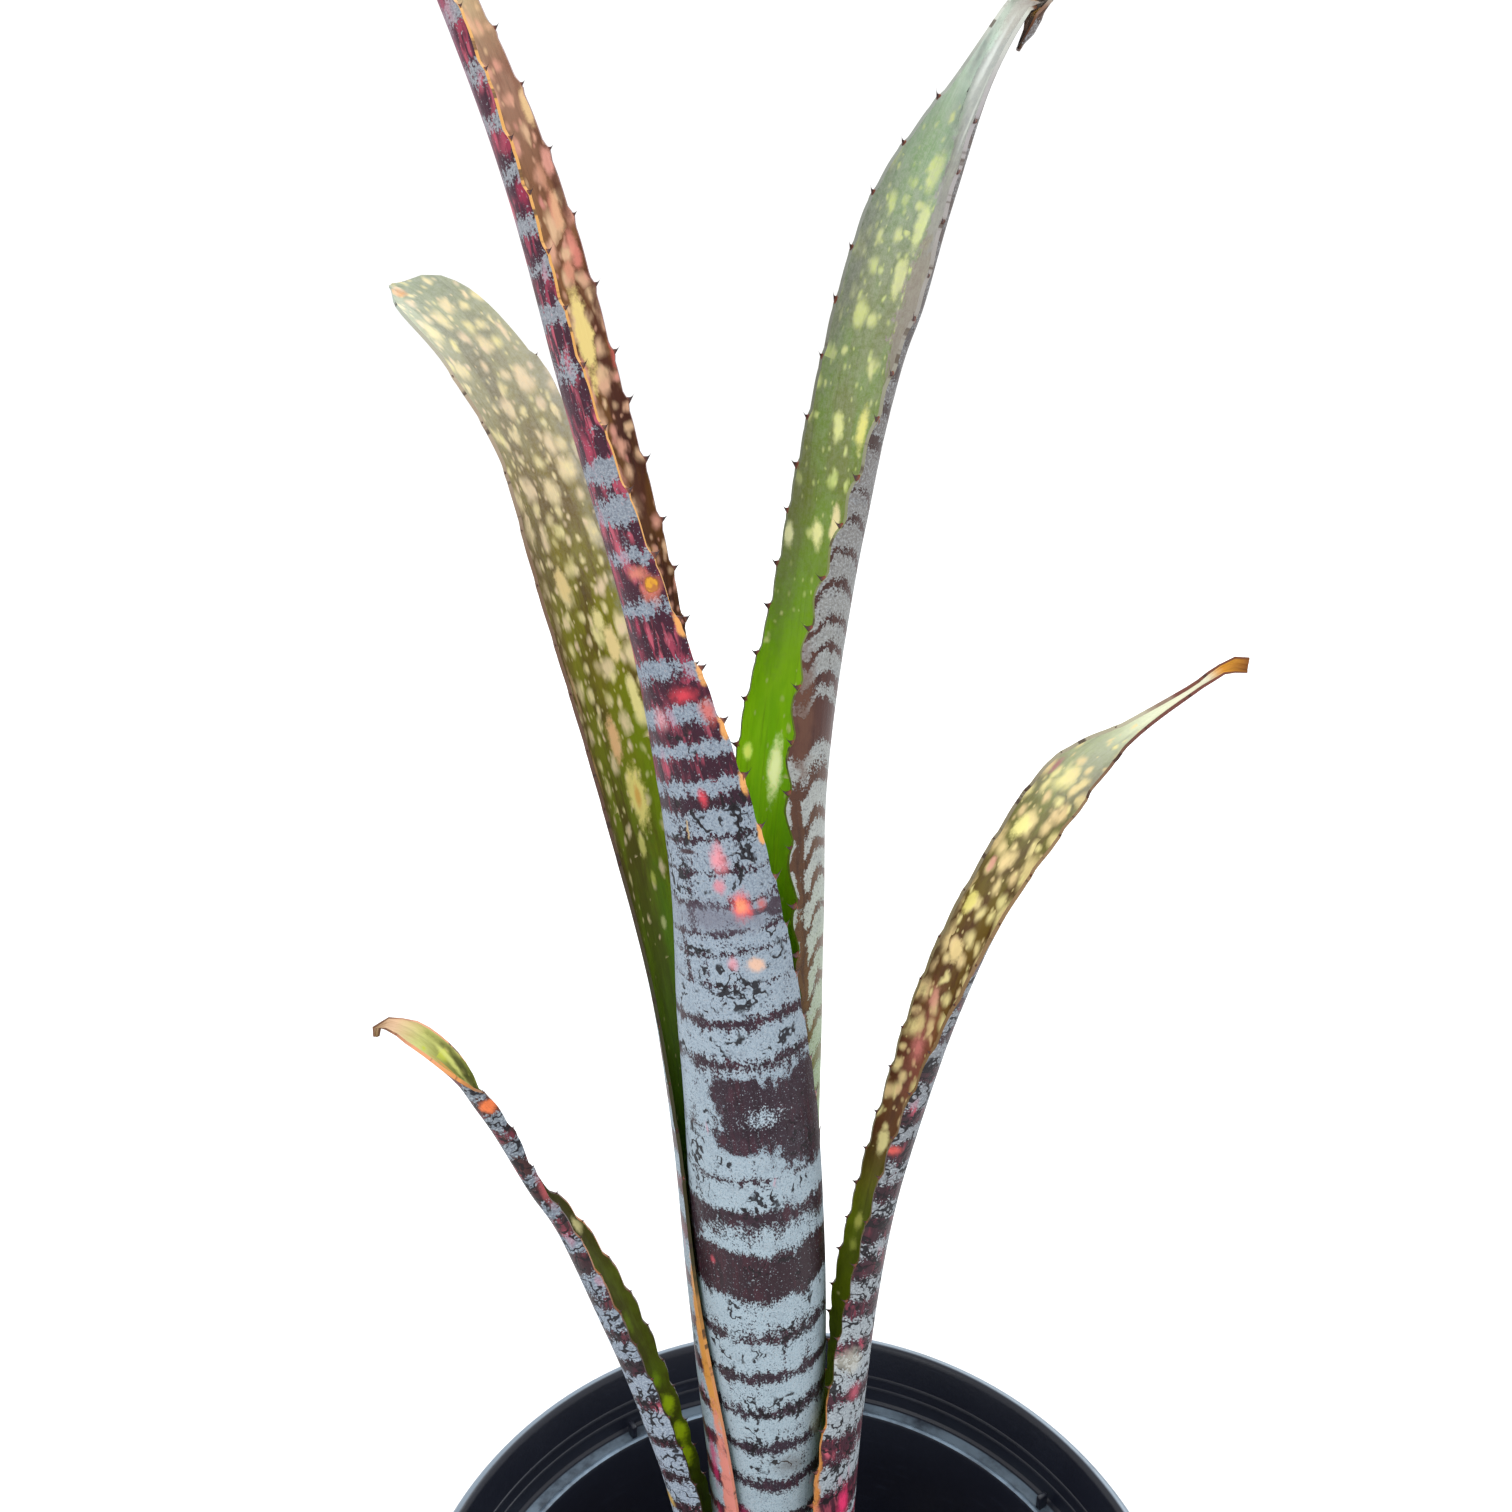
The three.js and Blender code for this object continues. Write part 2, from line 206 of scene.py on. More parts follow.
def add(tree, kind, inputs=None, **settings):
    """A shader node with its settings, and each input either fed by a value or set"""
    node = tree.nodes.new("ShaderNode" + kind)
    for name, setting in settings.items():
        setattr(node, name, setting)
    for key, value in (inputs or {}).items():
        if isinstance(value, Value):
            value.feed(node.inputs[key])
        else:
            node.inputs[key].default_value = value
    return Value(tree, node)


def between(value, low, high):
    """0 at low and 1 at high, eased at both ends"""
    limits = {"Value": value, "From Min": low, "From Max": high}
    return add(value.tree, "MapRange", limits, interpolation_type="SMOOTHSTEP")


def stretched(place, across, along, upward=1):
    """The place with its three values multiplied by these"""
    return place.vector("MULTIPLY", (across, along, upward))


def speckle(place, scale, detail=2, roughness=0.5):
    values = {"Vector": place, "Scale": scale, "Detail": detail, "Roughness": roughness}
    return add(place.tree, "TexNoise", values)


def paint(red, green, blue):
    """A colour by its values on screen, 0 to 255"""
    return [((c / 255 + 0.055) / 1.055) ** 2.4 if c > 10 else c / 255 / 12.92 for c in (red, green, blue)] + [1]


def blended(share, first, second):
    """The first colour with a share of the second, each a value or red, green and blue"""
    first, second = (colour if isinstance(colour, Value) else paint(*colour) for colour in (first, second))
    return add(share.tree, "Mix", {0: share, 6: first, 7: second}, data_type="RGBA")[2]


def shader_group(name, vectors, numbers, gives):
    """An empty node group that takes these vectors and numbers and gives these numbers"""
    tree = bpy.data.node_groups.new(name, "ShaderNodeTree")
    for labels, way, kind in ((vectors, "INPUT", "Vector"), (numbers, "INPUT", "Float"), (gives, "OUTPUT", "Float")):
        for label in labels.split():
            tree.interface.new_socket(label, in_out=way, socket_type="NodeSocket" + kind)
    return tree, Value(tree, tree.nodes.new("NodeGroupInput")), tree.nodes.new("NodeGroupOutput").inputs


def new_finish(name, **shader):
    """A material, its node tree and its shader, with the shader's plain values set"""
    material = bpy.data.materials.new(name)
    material.use_nodes = True
    skin = material.node_tree.nodes["Principled BSDF"]
    for key, value in shader.items():
        skin.inputs[key.replace("_", " ")].default_value = value
    return material, material.node_tree, skin


def dress(skin, colour, roughness, height, depth, strength):
    """Feeds a shader, and raises the surface by depth metres where height is 1"""
    colour.feed(skin.inputs["Base Color"])
    roughness.feed(skin.inputs["Roughness"])
    bump = add(height.tree, "Bump", {"Height": height, "Distance": depth, "Strength": strength})
    bump.feed(skin.inputs["Normal"])


def coat(piece, material):
    """Gives a piece this one material"""
    piece.data.materials.clear()
    piece.data.materials.append(material)


# Painted sheen: a share that is high on what faces up, broken up in patches, used to paint the reflection of light
# from above
sheen_group, taken, given = shader_group("upward_sheen", "Place", "Scale", "Share")
facing = add(sheen_group, "SeparateXYZ", {0: add(sheen_group, "NewGeometry")["Normal"]})["Z"]
patches = speckle(taken["Place"], taken["Scale"], 5, 0.65)
(between(facing, 0.55, 0.95) * between(patches, 0.3, 0.62)).feed(given["Share"])

plastic, tree, skin = new_finish("black_plastic", Specular_IOR_Level=0.4)
here = add(tree, "TexCoord")["Object"]
cloud = speckle(here, 24, 4, 0.6)
colour = blended(cloud, (15, 18, 28), (27, 31, 44))
height = add(tree, "SeparateXYZ", {0: here})["Z"]
away = stretched(here, 1, 1, 0).vector("LENGTH")["Value"]
# The ledge and its bead carry a painted reflection of the light from above, pale blue grey and brightest on the bead
sheen = add(tree, "Group", {"Place": here, "Scale": 60}, node_tree=sheen_group)
sheen = sheen * between(height, (LEDGE + 1.5) * MM, (LEDGE + 0.9) * MM) * between(away, 70.5 * MM, 70.1 * MM)
sheen_colour = blended(between(away, 67.9 * MM, 67.5 * MM), (112, 129, 144), (136, 158, 178))
colour = blended(sheen * 0.8, colour, sheen_colour)
# A painted highlight, pale blue grey, along the outer lip of the rim
lip = between(away, 75.9 * MM, 76.5 * MM) * between(cloud, 0.15, 0.4)
colour = blended(lip * 0.85, colour, (126, 140, 154))
scuffs = between(speckle(stretched(here, 1, 1, 9), 90, 5, 0.7), 0.58, 0.72)
colour = blended(scuffs * 0.2, colour, (52, 60, 78))
grain = speckle(here, 900, 3, 0.6)
dress(skin, colour, cloud.scaled(0.22, 0.24) + scuffs * 0.15, grain + cloud * 2, 0.00008, 0.6)
coat(pot, plastic)
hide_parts("pot")
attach(pot, "root")

# Potting mix
# Coarse bark, coir crumb and a little grit, poured in round the plant and settled 45 mm below the rim. The top is
# uneven, and larger chips of bark lie loose on it.
MIX_TOP, MIX_SIDES, MIX_RINGS, RING_WIDTH = 84.6, 120, 26, 2.2
MIX_BOTTOM, MIX_BOTTOM_RADIUS, MIX_TOP_RADIUS = 2.3, 54, 62.1
PLANT_X = -2.5
CHIP_SHAPES, CHIPS, CHIPS_WITHIN, PLANT_CLEAR = 3, 330, 58, (27, 23)


def lump(x, y):
    """How far the mix stands above its mean level, in mm, level round the plant"""
    away = min(max((math.hypot(x - PLANT_X, y) - 20) / 14, 0), 1)
    away = away * away * (3 - 2 * away)
    waves = math.sin(x * 0.31 + 1.3 * math.sin(y * 0.17)) * math.cos(y * 0.27 - 0.6)
    return away * (1.3 * waves - 1)


mix = start_disc("bark_and_crumb", MIX_SIDES, MIX_BOTTOM_RADIUS, MIX_BOTTOM)
draw_up((MIX_BOTTOM_RADIUS, MIX_BOTTOM), [(MIX_TOP_RADIUS, MIX_TOP)])
for i in range(MIX_RINGS):
    bpy.ops.mesh.inset(thickness=RING_WIDTH * MM, use_boundary=True)
bpy.ops.mesh.poke()
finish_edit(mix, angle=60)
for vertex in mix.data.vertices:
    if vertex.co.z > (MIX_TOP - 1) * MM:
        x, y = vertex.co.x / MM, vertex.co.y / MM
        crumb = noise.noise(Vector((x * 0.55, y * 0.55, 3.1))) + 0.5 * noise.noise(Vector((x * 1.3, y * 1.3, 8)))
        vertex.co.z = (MIX_TOP + lump(x, y) + 0.9 * crumb - 0.4) * MM

chips = []
draw = random.Random(5)
for i in range(CHIP_SHAPES):
    chip = block(5.2, 2.6 + 0.5 * i, 1.5)
    bpy.ops.mesh.subdivide(number_cuts=2, fractal=0.25, fractal_along_normal=0.5, seed=i + 3)
    bpy.ops.object.mode_set(mode="OBJECT")
    soften = chip.modifiers.new("worn_edges", "BEVEL")
    soften.width = 0.25 * MM
    soften.segments = 1
    soften.limit_method = "ANGLE"
    soften.angle_limit = math.radians(40)
    bpy.ops.object.modifier_apply(modifier=soften.name)
    chips.append(chip)


def another(name, thing, placing):
    """A further object with its own copy of the mesh, moved by this matrix"""
    copy = bpy.data.objects.new(name, thing.data.copy())
    bpy.context.collection.objects.link(copy)
    copy.data.transform(placing)
    return copy


def strew(chip, x, y, size):
    """A copy of the chip, turned and sunk a little way into the mix"""
    lean = Matrix.Rotation(draw.uniform(0, 2 * math.pi), 4, "Z") @ Matrix.Rotation(draw.gauss(0, 0.3), 4, "X")
    lean = lean @ Matrix.Rotation(draw.gauss(0, 0.25), 4, "Y") @ Matrix.Scale(size, 4)
    height = MIX_TOP + lump(x, y) + 0.1 + 0.5 * size
    return another("chip", chip, Matrix.Translation((x * MM, y * MM, height * MM)) @ lean)


strewn = []
while len(strewn) < CHIPS:
    radius, around = CHIPS_WITHIN * math.sqrt(draw.random()), draw.uniform(0, 2 * math.pi)
    x, y = radius * math.cos(around), radius * math.sin(around)
    if math.hypot((x - PLANT_X) / PLANT_CLEAR[0], y / PLANT_CLEAR[1]) > 1:
        strewn.append(strew(draw.choice(chips), x, y, draw.uniform(0.45, 1.25)))
join(*strewn, mix)
for chip in chips:
    bpy.data.objects.remove(chip)

soil, tree, skin = new_finish("bark_mix", Specular_IOR_Level=0.25)
here = add(tree, "TexCoord")["Object"]
flakes = add(tree, "TexVoronoi", {"Vector": here, "Scale": 330, "Randomness": 1})
flake = add(tree, "SeparateColor", {0: flakes["Color"]})
fibre = speckle(stretched(here, 1, 1, 3), 700, 6, 0.65)
colour = blended(flake, (46, 30, 21), (104, 74, 50))
colour = blended(between(fibre, 0.35, 0.75), (30, 21, 15), colour)
colour = blended(between(flake, 0.93, 0.97) * 0.7, colour, (196, 188, 172))
dress(skin, colour, fibre.scaled(0.2, 0.75), fibre + flakes["Distance"], 0.0006, 0.8)
coat(mix, soil)
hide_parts("potting_mix")
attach(mix, "root")

# Stem
# A short stout stem that the leaf bases clasp. It carries the rings where older leaves came away, and ends in a
# blunt growing point at the bottom of the leaf tube.
STEM_RADIUS, STEM_FOOT_RADIUS, STEM_BOTTOM, STEM_TOP = 6.3, 5.4, 60.2, 95.8
STEM_SIDES, STEM_RINGS, RING_PITCH = 48, 7, 4
stem = start_disc("ringed_stem", STEM_SIDES, STEM_FOOT_RADIUS, STEM_BOTTOM)
rings = [(STEM_RADIUS, STEM_BOTTOM + 0.9)]
for i in range(STEM_RINGS):
    foot = STEM_BOTTOM + 3 + i * RING_PITCH
    for inward, rise in ((0, 0), (0.45, 0.5), (0.3, 1.2), (0.05, 2)):
        rings.append((STEM_RADIUS - inward, foot + rise))
rings += [(5.9, 92.2), (5.1, 94), (3.6, 95.1), (1.6, 95.7), (0.5, STEM_TOP)]
draw_up((STEM_FOOT_RADIUS, STEM_BOTTOM), rings)
finish_edit(stem, angle=60)
stem.data.transform(Matrix.Translation((PLANT_X * MM, 0, 0)))

bark, tree, skin = new_finish("stem_tissue", Specular_IOR_Level=0.35)
here = add(tree, "TexCoord")["Object"]
fibre = speckle(stretched(here, 1, 1, 0.12), 900, 4, 0.6)
ringing = speckle(stretched(here, 0.1, 0.1, 1), 420, 3, 0.5)
colour = blended(fibre, (92, 70, 42), (150, 132, 84))
colour = blended(between(ringing, 0.5, 0.7), colour, (66, 46, 28))
dress(skin, colour, fibre.scaled(0.25, 0.5), fibre + ringing, 0.0003, 0.7)
coat(stem, bark)
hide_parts("stem")
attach(stem, "root")

# Leaves
# Five stiff, leathery blades that roll round their midribs. The backs carry bands of silver scurf over dark tissue,
# the inner faces are green to brown with pale windows, and both margins are scalloped between hooked spines.
# A station holds, from base to tip: the midrib's x, y and z, the compass angle of the back, how far the open side
# tilts up, half of the flat width and half of the angle that the blade wraps, in millimetres and degrees.
LEAF_FRONT = [
    (-5.7, -8.7, 85, 250, 0, 17.5, 105), (-6.6, -9.1, 130, 250, 0, 17.3, 105), (-8.3, -10, 175, 250, 0, 18, 103),
    (-10.4, -10.9, 212, 250, 0, 19.7, 100), (-12.8, -10.2, 245, 244, 0, 19.4, 97), (-16.2, -8, 275, 233, 0, 17.6, 95),
    (-21.2, -3.4, 310, 206, 0, 14.6, 95), (-27.4, 2, 341, 178, 0, 11.2, 91), (-34.6, 6.3, 370, 164, 0, 9.3, 84),
    (-41.2, 9.7, 397, 160, 0, 7.6, 80), (-49.8, 11.5, 422, 164, 0, 5, 80), (-64, 14, 455, 165, 0, 0.5, 70),
]
LEAF_BACK_RIGHT = [
    (2.8, 5.3, 85, 45, 0, 11.6, 88), (2, 5.1, 130, 45, 0, 11.6, 88), (0.9, 5.1, 175, 45, 0, 12.4, 88),
    (0.1, 6.5, 212, 45, 0, 13.6, 86), (0.4, 9.6, 250, 44, 0, 14, 88), (1.2, 11.3, 285, 36, 0, 15.2, 88),
    (2.6, 15.2, 311, 26, 0, 15.2, 90), (6, 18.6, 335, 25, 0, 12.9, 92), (10.4, 27, 367, 54, 0, 9.6, 84),
    (14, 31.2, 382, 64, 0, 9.9, 84), (18.8, 34, 396, 58, 0, 8.7, 82), (26.2, 36.5, 413, 60, 0, 3.7, 80),
    (32.7, 38, 424, 60, 0, 2.2, 70), (35.4, 38.5, 423.6, 40, 0.5, 2.9, 66), (34.4, 38.2, 420.6, 10, 0.5, 2.1, 60),
    (32.2, 37.6, 417.6, 10, 0.5, 0.5, 60),
]
LEAF_BACK_LEFT = [
    (-12, 5.4, 85, 152, 0, 18, 95), (-13, 5.2, 130, 152, 0, 18.2, 94), (-14.5, 5.5, 170, 149, 0, 18.2, 86),
    (-16.3, 8.4, 212, 138, 0, 17.4, 77), (-18.2, 12, 245, 135, 0, 14.6, 66), (-22, 18, 275, 133, 0, 13.8, 58),
    (-29, 24.5, 308, 131, 0, 13.4, 52), (-38.3, 30.5, 341, 130, 0, 11.4, 46), (-45.2, 34.5, 359, 132, 0.12, 8.6, 42),
    (-53.8, 38, 372.5, 134, 0.3, 8, 38), (-62, 41, 380.5, 136, 0.5, 6.6, 30), (-67.7, 43, 383, 136, 0.6, 0.6, 20),
]
LEAF_RIGHT = [
    (10, -2.2, 85, -10, 0, 16, 72), (10, -2, 130, -8, 0, 15.6, 71), (10.9, -1.6, 166, -5, 0, 14.4, 67),
    (12.2, -1.2, 190, -5, 0, 12.3, 67), (13.7, -0.3, 212, 4, 0, 9.4, 90), (16.5, -0.3, 234, 8, 0, 7.8, 92),
    (20.9, 0.8, 254, 14, 0, 7.3, 92), (25.3, 2.6, 273, 36, 0, 6.2, 86), (31.2, 4.6, 291, 62, 0.1, 5, 74),
    (41.9, 7.5, 309.5, 78, 0.25, 4.6, 58), (51.6, 9, 317.5, 78, 0.3, 1.9, 72), (61.5, 9, 324.9, 74, 0.3, 0.8, 80),
    (66.2, 8.5, 328.7, 66, 0.3, 1.2, 60), (69.4, 8, 328.7, 60, 0.3, 1.25, 50),
]
LEAF_LEFT = [
    (-15.1, -2.2, 85, 190, 0, 13.4, 60), (-17.6, -1.9, 130, 186, 0, 12, 60), (-23.7, -3.2, 166, 188, 0, 9.2, 78),
    (-28.8, -4, 189, 184, 0, 8, 88), (-34.9, -4.9, 211, 182, 0, 6.9, 90), (-41.2, -6.2, 231, 190, 0, 4.1, 88),
    (-45.7, -7.6, 241.2, 208, 0, 2.5, 88), (-50.6, -8.2, 253.2, 226, 0.1, 2.6, 88),
    (-53.9, -8, 259, 212, 0.3, 2.9, 82), (-56.4, -7.4, 263.6, 172, 0.5, 2.7, 66), (-59.4, -7, 268, 134, 0.7, 2.3, 50),
    (-63.2, -6.8, 271.4, 118, 0.8, 2.1, 46), (-66.7, -7, 273.2, 118, 0.8, 1.1, 46),
    (-68.5, -7.1, 273.2, 125, 0.8, 0.7, 50), (-69, -7.2, 271.2, 130, 0.8, 0.5, 50),
]
BLADE_MIDDLE, BLADE_EDGE = 1, 0.62
SCALLOPS, SPINE_FLARE = (0.7, 0.5), 0.55
FINE_ROW, PLAIN_ROW = 0.75, 2

# One spine: a flattened thorn with a broad foot, hooked towards the leaf's tip
SPINE_SIDES, SPINE_FOOT = 8, 0.95
spine = start_disc("spine", SPINE_SIDES, SPINE_FOOT, 0)
reach = 0
for radius, rise, hook in [(0.62, 0.5, 0.1), (0.4, 0.6, 0.24), (0.22, 0.6, 0.42), (0.06, 0.6, 0.6)]:
    bpy.ops.mesh.extrude_region_move(TRANSFORM_OT_translate={"value": (hook * MM, 0, rise * MM)})
    reach += hook
    bpy.ops.transform.resize(value=(radius / SPINE_FOOT,) * 2 + (1,), center_override=(reach * MM, 0, 0))
finish_edit(spine, angle=50)


def station_values(rows, u):
    """All values of the stations at u, which counts stations, on the curve that passes through each of them"""
    last = len(rows) - 1
    i = min(int(u), last - 1)
    f = u - i
    before = rows[i - 1] if i > 0 else 2 * rows[0] - rows[1]
    after = rows[i + 2] if i + 2 <= last else 2 * rows[last] - rows[last - 1]
    here, there = rows[i], rows[i + 1]
    square = 2 * before - 5 * here + 4 * there - after
    cube = 3 * here - before - 3 * there + after
    return 0.5 * (2 * here + (there - before) * f + square * f**2 + cube * f**3)


def blade_rows(stations):
    """The stations with the direction that the blade opens in as a vector in place of two of their values"""
    rows = []
    for x, y, z, back, tilt, half, wrap in stations:
        opening = Vector((-math.cos(math.radians(back)), -math.sin(math.radians(back)), tilt)).normalized()
        rows.append((x, y, z, *opening, half, wrap))
    return np.array(rows)


def length_table(rows, steps=400):
    """u at each of a set of lengths along the midrib"""
    us = np.linspace(0, len(rows) - 1, steps + 1)
    points = np.array([station_values(rows, u)[:3] for u in us])
    lengths = np.concatenate([[0], np.cumsum(np.linalg.norm(np.diff(points, axis=0), axis=1))])
    return us, lengths


def blade_point(rows, u, v, out=0, crease=0, crease_at=0):
    """The point of the blade at u and at v of its half width, with its inner normal, its tangent and its side"""
    last = len(rows) - 1
    values = station_values(rows, u)
    tangent = station_values(rows, min(u + 1e-3, last))[:3] - station_values(rows, max(u - 1e-3, 0))[:3]
    tangent /= np.linalg.norm(tangent)
    inward = values[3:6] - values[3:6].dot(tangent) * tangent
    inward /= np.linalg.norm(inward)
    across = np.cross(tangent, inward)
    half = max(values[6], 0.2)
    wrap = math.radians(max(values[7], 3))
    angle = v * wrap
    radius = half / wrap
    normal = inward * math.cos(angle) - across * math.sin(angle)
    sideways = across * math.cos(angle) + inward * math.sin(angle)
    point = values[:3] + inward * radius * (1 - math.cos(angle)) + across * radius * math.sin(angle)
    point = point + sideways * math.copysign(min(out, half * 0.6) * abs(v) ** 10, v)
    point = point - inward * crease * max(0, 1 - abs(v - crease_at) / 0.35) ** 1.5
    return point, normal, tangent, sideways, half


def edge_stands_out(along, spines, scallop):
    """How far the margin stands out between and at its spines, in mm"""
    if not len(spines) or along < spines[0] - 4 or along > spines[-1] + 4:
        return 0
    nearest = np.abs(spines - along).min()
    after = np.searchsorted(spines, along)
    lobe = 0
    if 0 < after < len(spines):
        share = (along - spines[after - 1]) / (spines[after] - spines[after - 1])
        lobe = scallop * math.sin(math.pi * share**2) ** 0.7
    return lobe + SPINE_FLARE * max(0, 1 - nearest / 1.3)


def ramp_up(value, start, run):
    """0 up to the start, then in a straight line to 1"""
    return min(max((value - start) / run, 0), 1)


def rolled_blade(name, stations, spines, columns, crease=None, dry=6, scallops=SCALLOPS):
    """A leaf: a grid laid on its stations, thickened, its margins shaped for spines at these lengths"""
    rows = blade_rows(stations)
    us, lengths = length_table(rows)
    total = lengths[-1]
    cuts = [0]
    while cuts[-1] < total - 0.4:
        toothed = spines[0][0] - 4 < cuts[-1] < spines[0][-1] + 4
        cuts.append(min(cuts[-1] + (FINE_ROW if toothed else PLAIN_ROW), total))
    bpy.ops.object.select_all(action="DESELECT")
    bpy.ops.mesh.primitive_grid_add(x_subdivisions=columns, y_subdivisions=len(cuts) - 1, size=1)
    blade = bpy.context.object
    blade.name = name
    mesh = blade.data
    mesh.uv_layers[0].name = "blade"
    thick = blade.vertex_groups.new(name="thickness")
    flat = []
    for vertex in mesh.vertices:
        row, column = divmod(vertex.index, columns + 1)
        along = cuts[row]
        v = 1 - 2 * column / columns
        u = float(np.interp(along, lengths, us))
        margin = 0 if v > 0 else 1
        out = edge_stands_out(along, spines[margin], scallops[margin])
        fold, fold_at = 0, 0
        if crease:
            depth, line = crease
            fold = depth * ramp_up(along, line[0][0], 25) * ramp_up(-along, -line[-1][0], 12)
            fold_at = float(np.interp(along, *zip(*line)))
        point, normal, tangent, sideways, half = blade_point(rows, u, v, out, fold, fold_at)
        curl = ramp_up(along, total - dry, dry)
        wither = noise.noise(Vector((v * 1.7 + 5, along * 0.5, len(name)))) * 0.55 * curl * min(half, 1.5)
        ripple = noise.noise(Vector((v * 2.2, along * 0.045, len(name) * 3))) * 0.22 * min(half / 12, 1)
        vertex.co = Vector(point + normal * (wither + ripple)) * MM
        flat.append((v * half, along))
        weight = BLADE_EDGE + (BLADE_MIDDLE - BLADE_EDGE) * (1 - v * v)
        thick.add([vertex.index], weight * (1 - 0.45 * curl), "REPLACE")
    for loop in mesh.loops:
        mesh.uv_layers["blade"].data[loop.index].uv = flat[loop.vertex_index]
    only(blade)
    skin = blade.modifiers.new("blade_thickness", "SOLIDIFY")
    skin.thickness = BLADE_MIDDLE * MM
    skin.offset = 0
    skin.vertex_group = "thickness"
    skin.use_even_offset = True
    skin.material_offset = 1
    skin.material_offset_rim = 2
    return blade, rows, us, lengths


def set_spines(blade, rows, us, lengths, spines, sizes, seed, scallops=SCALLOPS):
    """Copies the spine to its lengths on the two margins, sized from the first to the last, and joins the copies"""
    draw = random.Random(seed)
    copies = []
    for v, places, scallop in ((1, spines[0], scallops[0]), (-1, spines[1], scallops[1])):
        for along in places:
            u = float(np.interp(along, lengths, us))
            out = edge_stands_out(along, places, scallop)
            point, normal, tangent, sideways, half = blade_point(rows, u, v, out)
            outward = sideways * v
            lean = tangent + outward * draw.uniform(-0.15, 0.15)
            share = (along - places[0]) / (places[-1] - places[0])
            size = (sizes[0] + (sizes[1] - sizes[0]) * share) * draw.uniform(0.85, 1.15)
            axes = Matrix([(lean * size).tolist(), (normal * size * 0.4).tolist(), (outward * size).tolist()])
            axes = axes.transposed().to_4x4()
            copy = another("spine", spine, Matrix.Translation(Vector(point - outward * 0.25) * MM) @ axes)
            if axes.determinant() < 0:
                copy.data.flip_normals()
            copies.append(copy)
    join(*copies, blade)


def spine_places(first, last, pitch, seed):
    """Lengths along the midrib for the spines of the two margins, spaced a little unevenly"""
    draw = random.Random(seed)
    margins = []
    for start in (first, first + pitch * 0.4):
        places = []
        while start < last:
            places.append(start)
            start += pitch * draw.uniform(0.85, 1.15)
        margins.append(np.array(places))
    return margins


def streaks(place, across, along, detail=2, roughness=0.5):
    """Noise with about this many grains in each millimetre across and along a blade"""
    return speckle(stretched(place, across, along), 1, detail, roughness)


# Lengthwise shifts that fray and bow whatever follows the length of a blade. The blade's place holds the distance
# across, the distance along and the leaf's seed, so that each leaf reads its own slice of every noise.
fray_group, taken, given = shader_group("frayed_length", "Blade", "Wobble Fray Arch Crown", "Length")
blade = taken["Blade"]
split = add(fray_group, "SeparateXYZ", {0: blade})
wobble = (streaks(blade, 0.09, 0.11) - 0.5) * taken["Wobble"]
fray = (streaks(blade, 1.3, 0.3, 4, 0.7) - 0.5) * taken["Fray"]
aside = split["X"] - taken["Crown"]
steep = aside.maths("GREATER_THAN", 0).scaled(0.85, 0.15)
bow = (aside * aside * (steep * taken["Arch"])).maths("SMOOTH_MIN", 3.2, 2)
(wobble + fray + split["Y"] + bow).feed(given["Length"])

# Scurf: silver scales in bands that dissolve grain by grain at their edges, rubbed off in flecks and cracked
scurf_group, taken, given = shader_group(
    "silver_scurf", "Blade", "Count Width Rubbed Cracks Patch", "Cover Crack Relief"
)
blade, width, cracks = taken["Blade"], taken["Width"], taken["Cracks"]
away = taken["Count"].maths("PINGPONG", 0.5)
fine = streaks(blade, 3.4, 2.5, 3, 0.65)
worn = streaks(blade, 0.32, 0.16, 4, 0.7)
seam = streaks(blade, 0.55, 0.035, 3, 0.6)
sparse = between(away, width - 0.22, width - 0.08).scaled(1.8, 0.8)
band = between(away, width - 0.17, width + 0.17) + (fine - 0.5) * sparse
loss = (worn - 0.5) * taken["Rubbed"] + between(seam, 0.56, 0.68) * 0.3
cover = between(band - loss, 0.3, 0.62)
squiggle = (streaks(blade, 0.42, 0.34, 2, 0.55) - 0.5).maths("ABSOLUTE")
where = between(streaks(blade, 0.19, 0.15, 3, 0.65) + cracks, 0.62, 0.68) * between(cracks, 0, 0.01)
thick = streaks(blade, 0.7, 0.55).scaled(0.2, -0.06)
flecks = streaks(blade, 1.2, 1, 3, 0.65)
crack = between(squiggle, thick, thick * 0.55).maths("MAXIMUM", between(flecks, 0.69, 0.72))
crack = crack * where.maths("MAXIMUM", taken["Patch"])
cover.feed(given["Cover"])
crack.feed(given["Crack"])
fine.scaled(0.5, cover - crack).feed(given["Relief"])

# Windows: soft pale ovals that lie along the blade, a share of them in each patch
oval_group, taken, given = shader_group("pale_windows", "Blade", "Wide Long Amount Soft", "Mask Tone")
blade, amount = taken["Blade"], taken["Amount"]
split = add(oval_group, "SeparateXYZ", {0: blade})
x = split["X"] / taken["Wide"] + streaks(blade, 0.3, 0.14, 3, 0.6) * 1.2
y = split["Y"] / taken["Long"] + split["Z"] * 3.7
spots = {"Vector": add(oval_group, "CombineXYZ", {"X": x, "Y": y}), "Scale": 1, "Randomness": 0.72}
cells = add(oval_group, "TexVoronoi", spots, voronoi_dimensions="2D")
chance = add(oval_group, "SeparateColor", {0: cells["Color"]})
size = chance[0].scaled(0.24, 0.16) * amount.scaled(0.5, 0.7)
ragged = streaks(blade, 1.1, 0.35, 4, 0.7) - 0.5
edge = size * (1 - taken["Soft"])
reach = ragged.scaled(0.12, cells["Distance"])
(between(reach, size, edge) * chance[1].maths("LESS_THAN", amount)).feed(given["Mask"])
chance[2].feed(given["Tone"])

# One mark at its own place on the blade, with an uneven edge
mark_group, taken, given = shader_group("one_mark", "Blade Place Half", "Soft", "Mask")
offset = stretched(taken["Blade"], 1, 1, 0).vector("SUBTRACT", taken["Place"]).vector("DIVIDE", taken["Half"])
uneven = streaks(taken["Blade"], 0.62, 0.4, 5, 0.7) - 0.5
reach = uneven.scaled(1.3, offset.vector("LENGTH")["Value"])
between(reach, 1, 1 - taken["Soft"]).feed(given["Mask"])


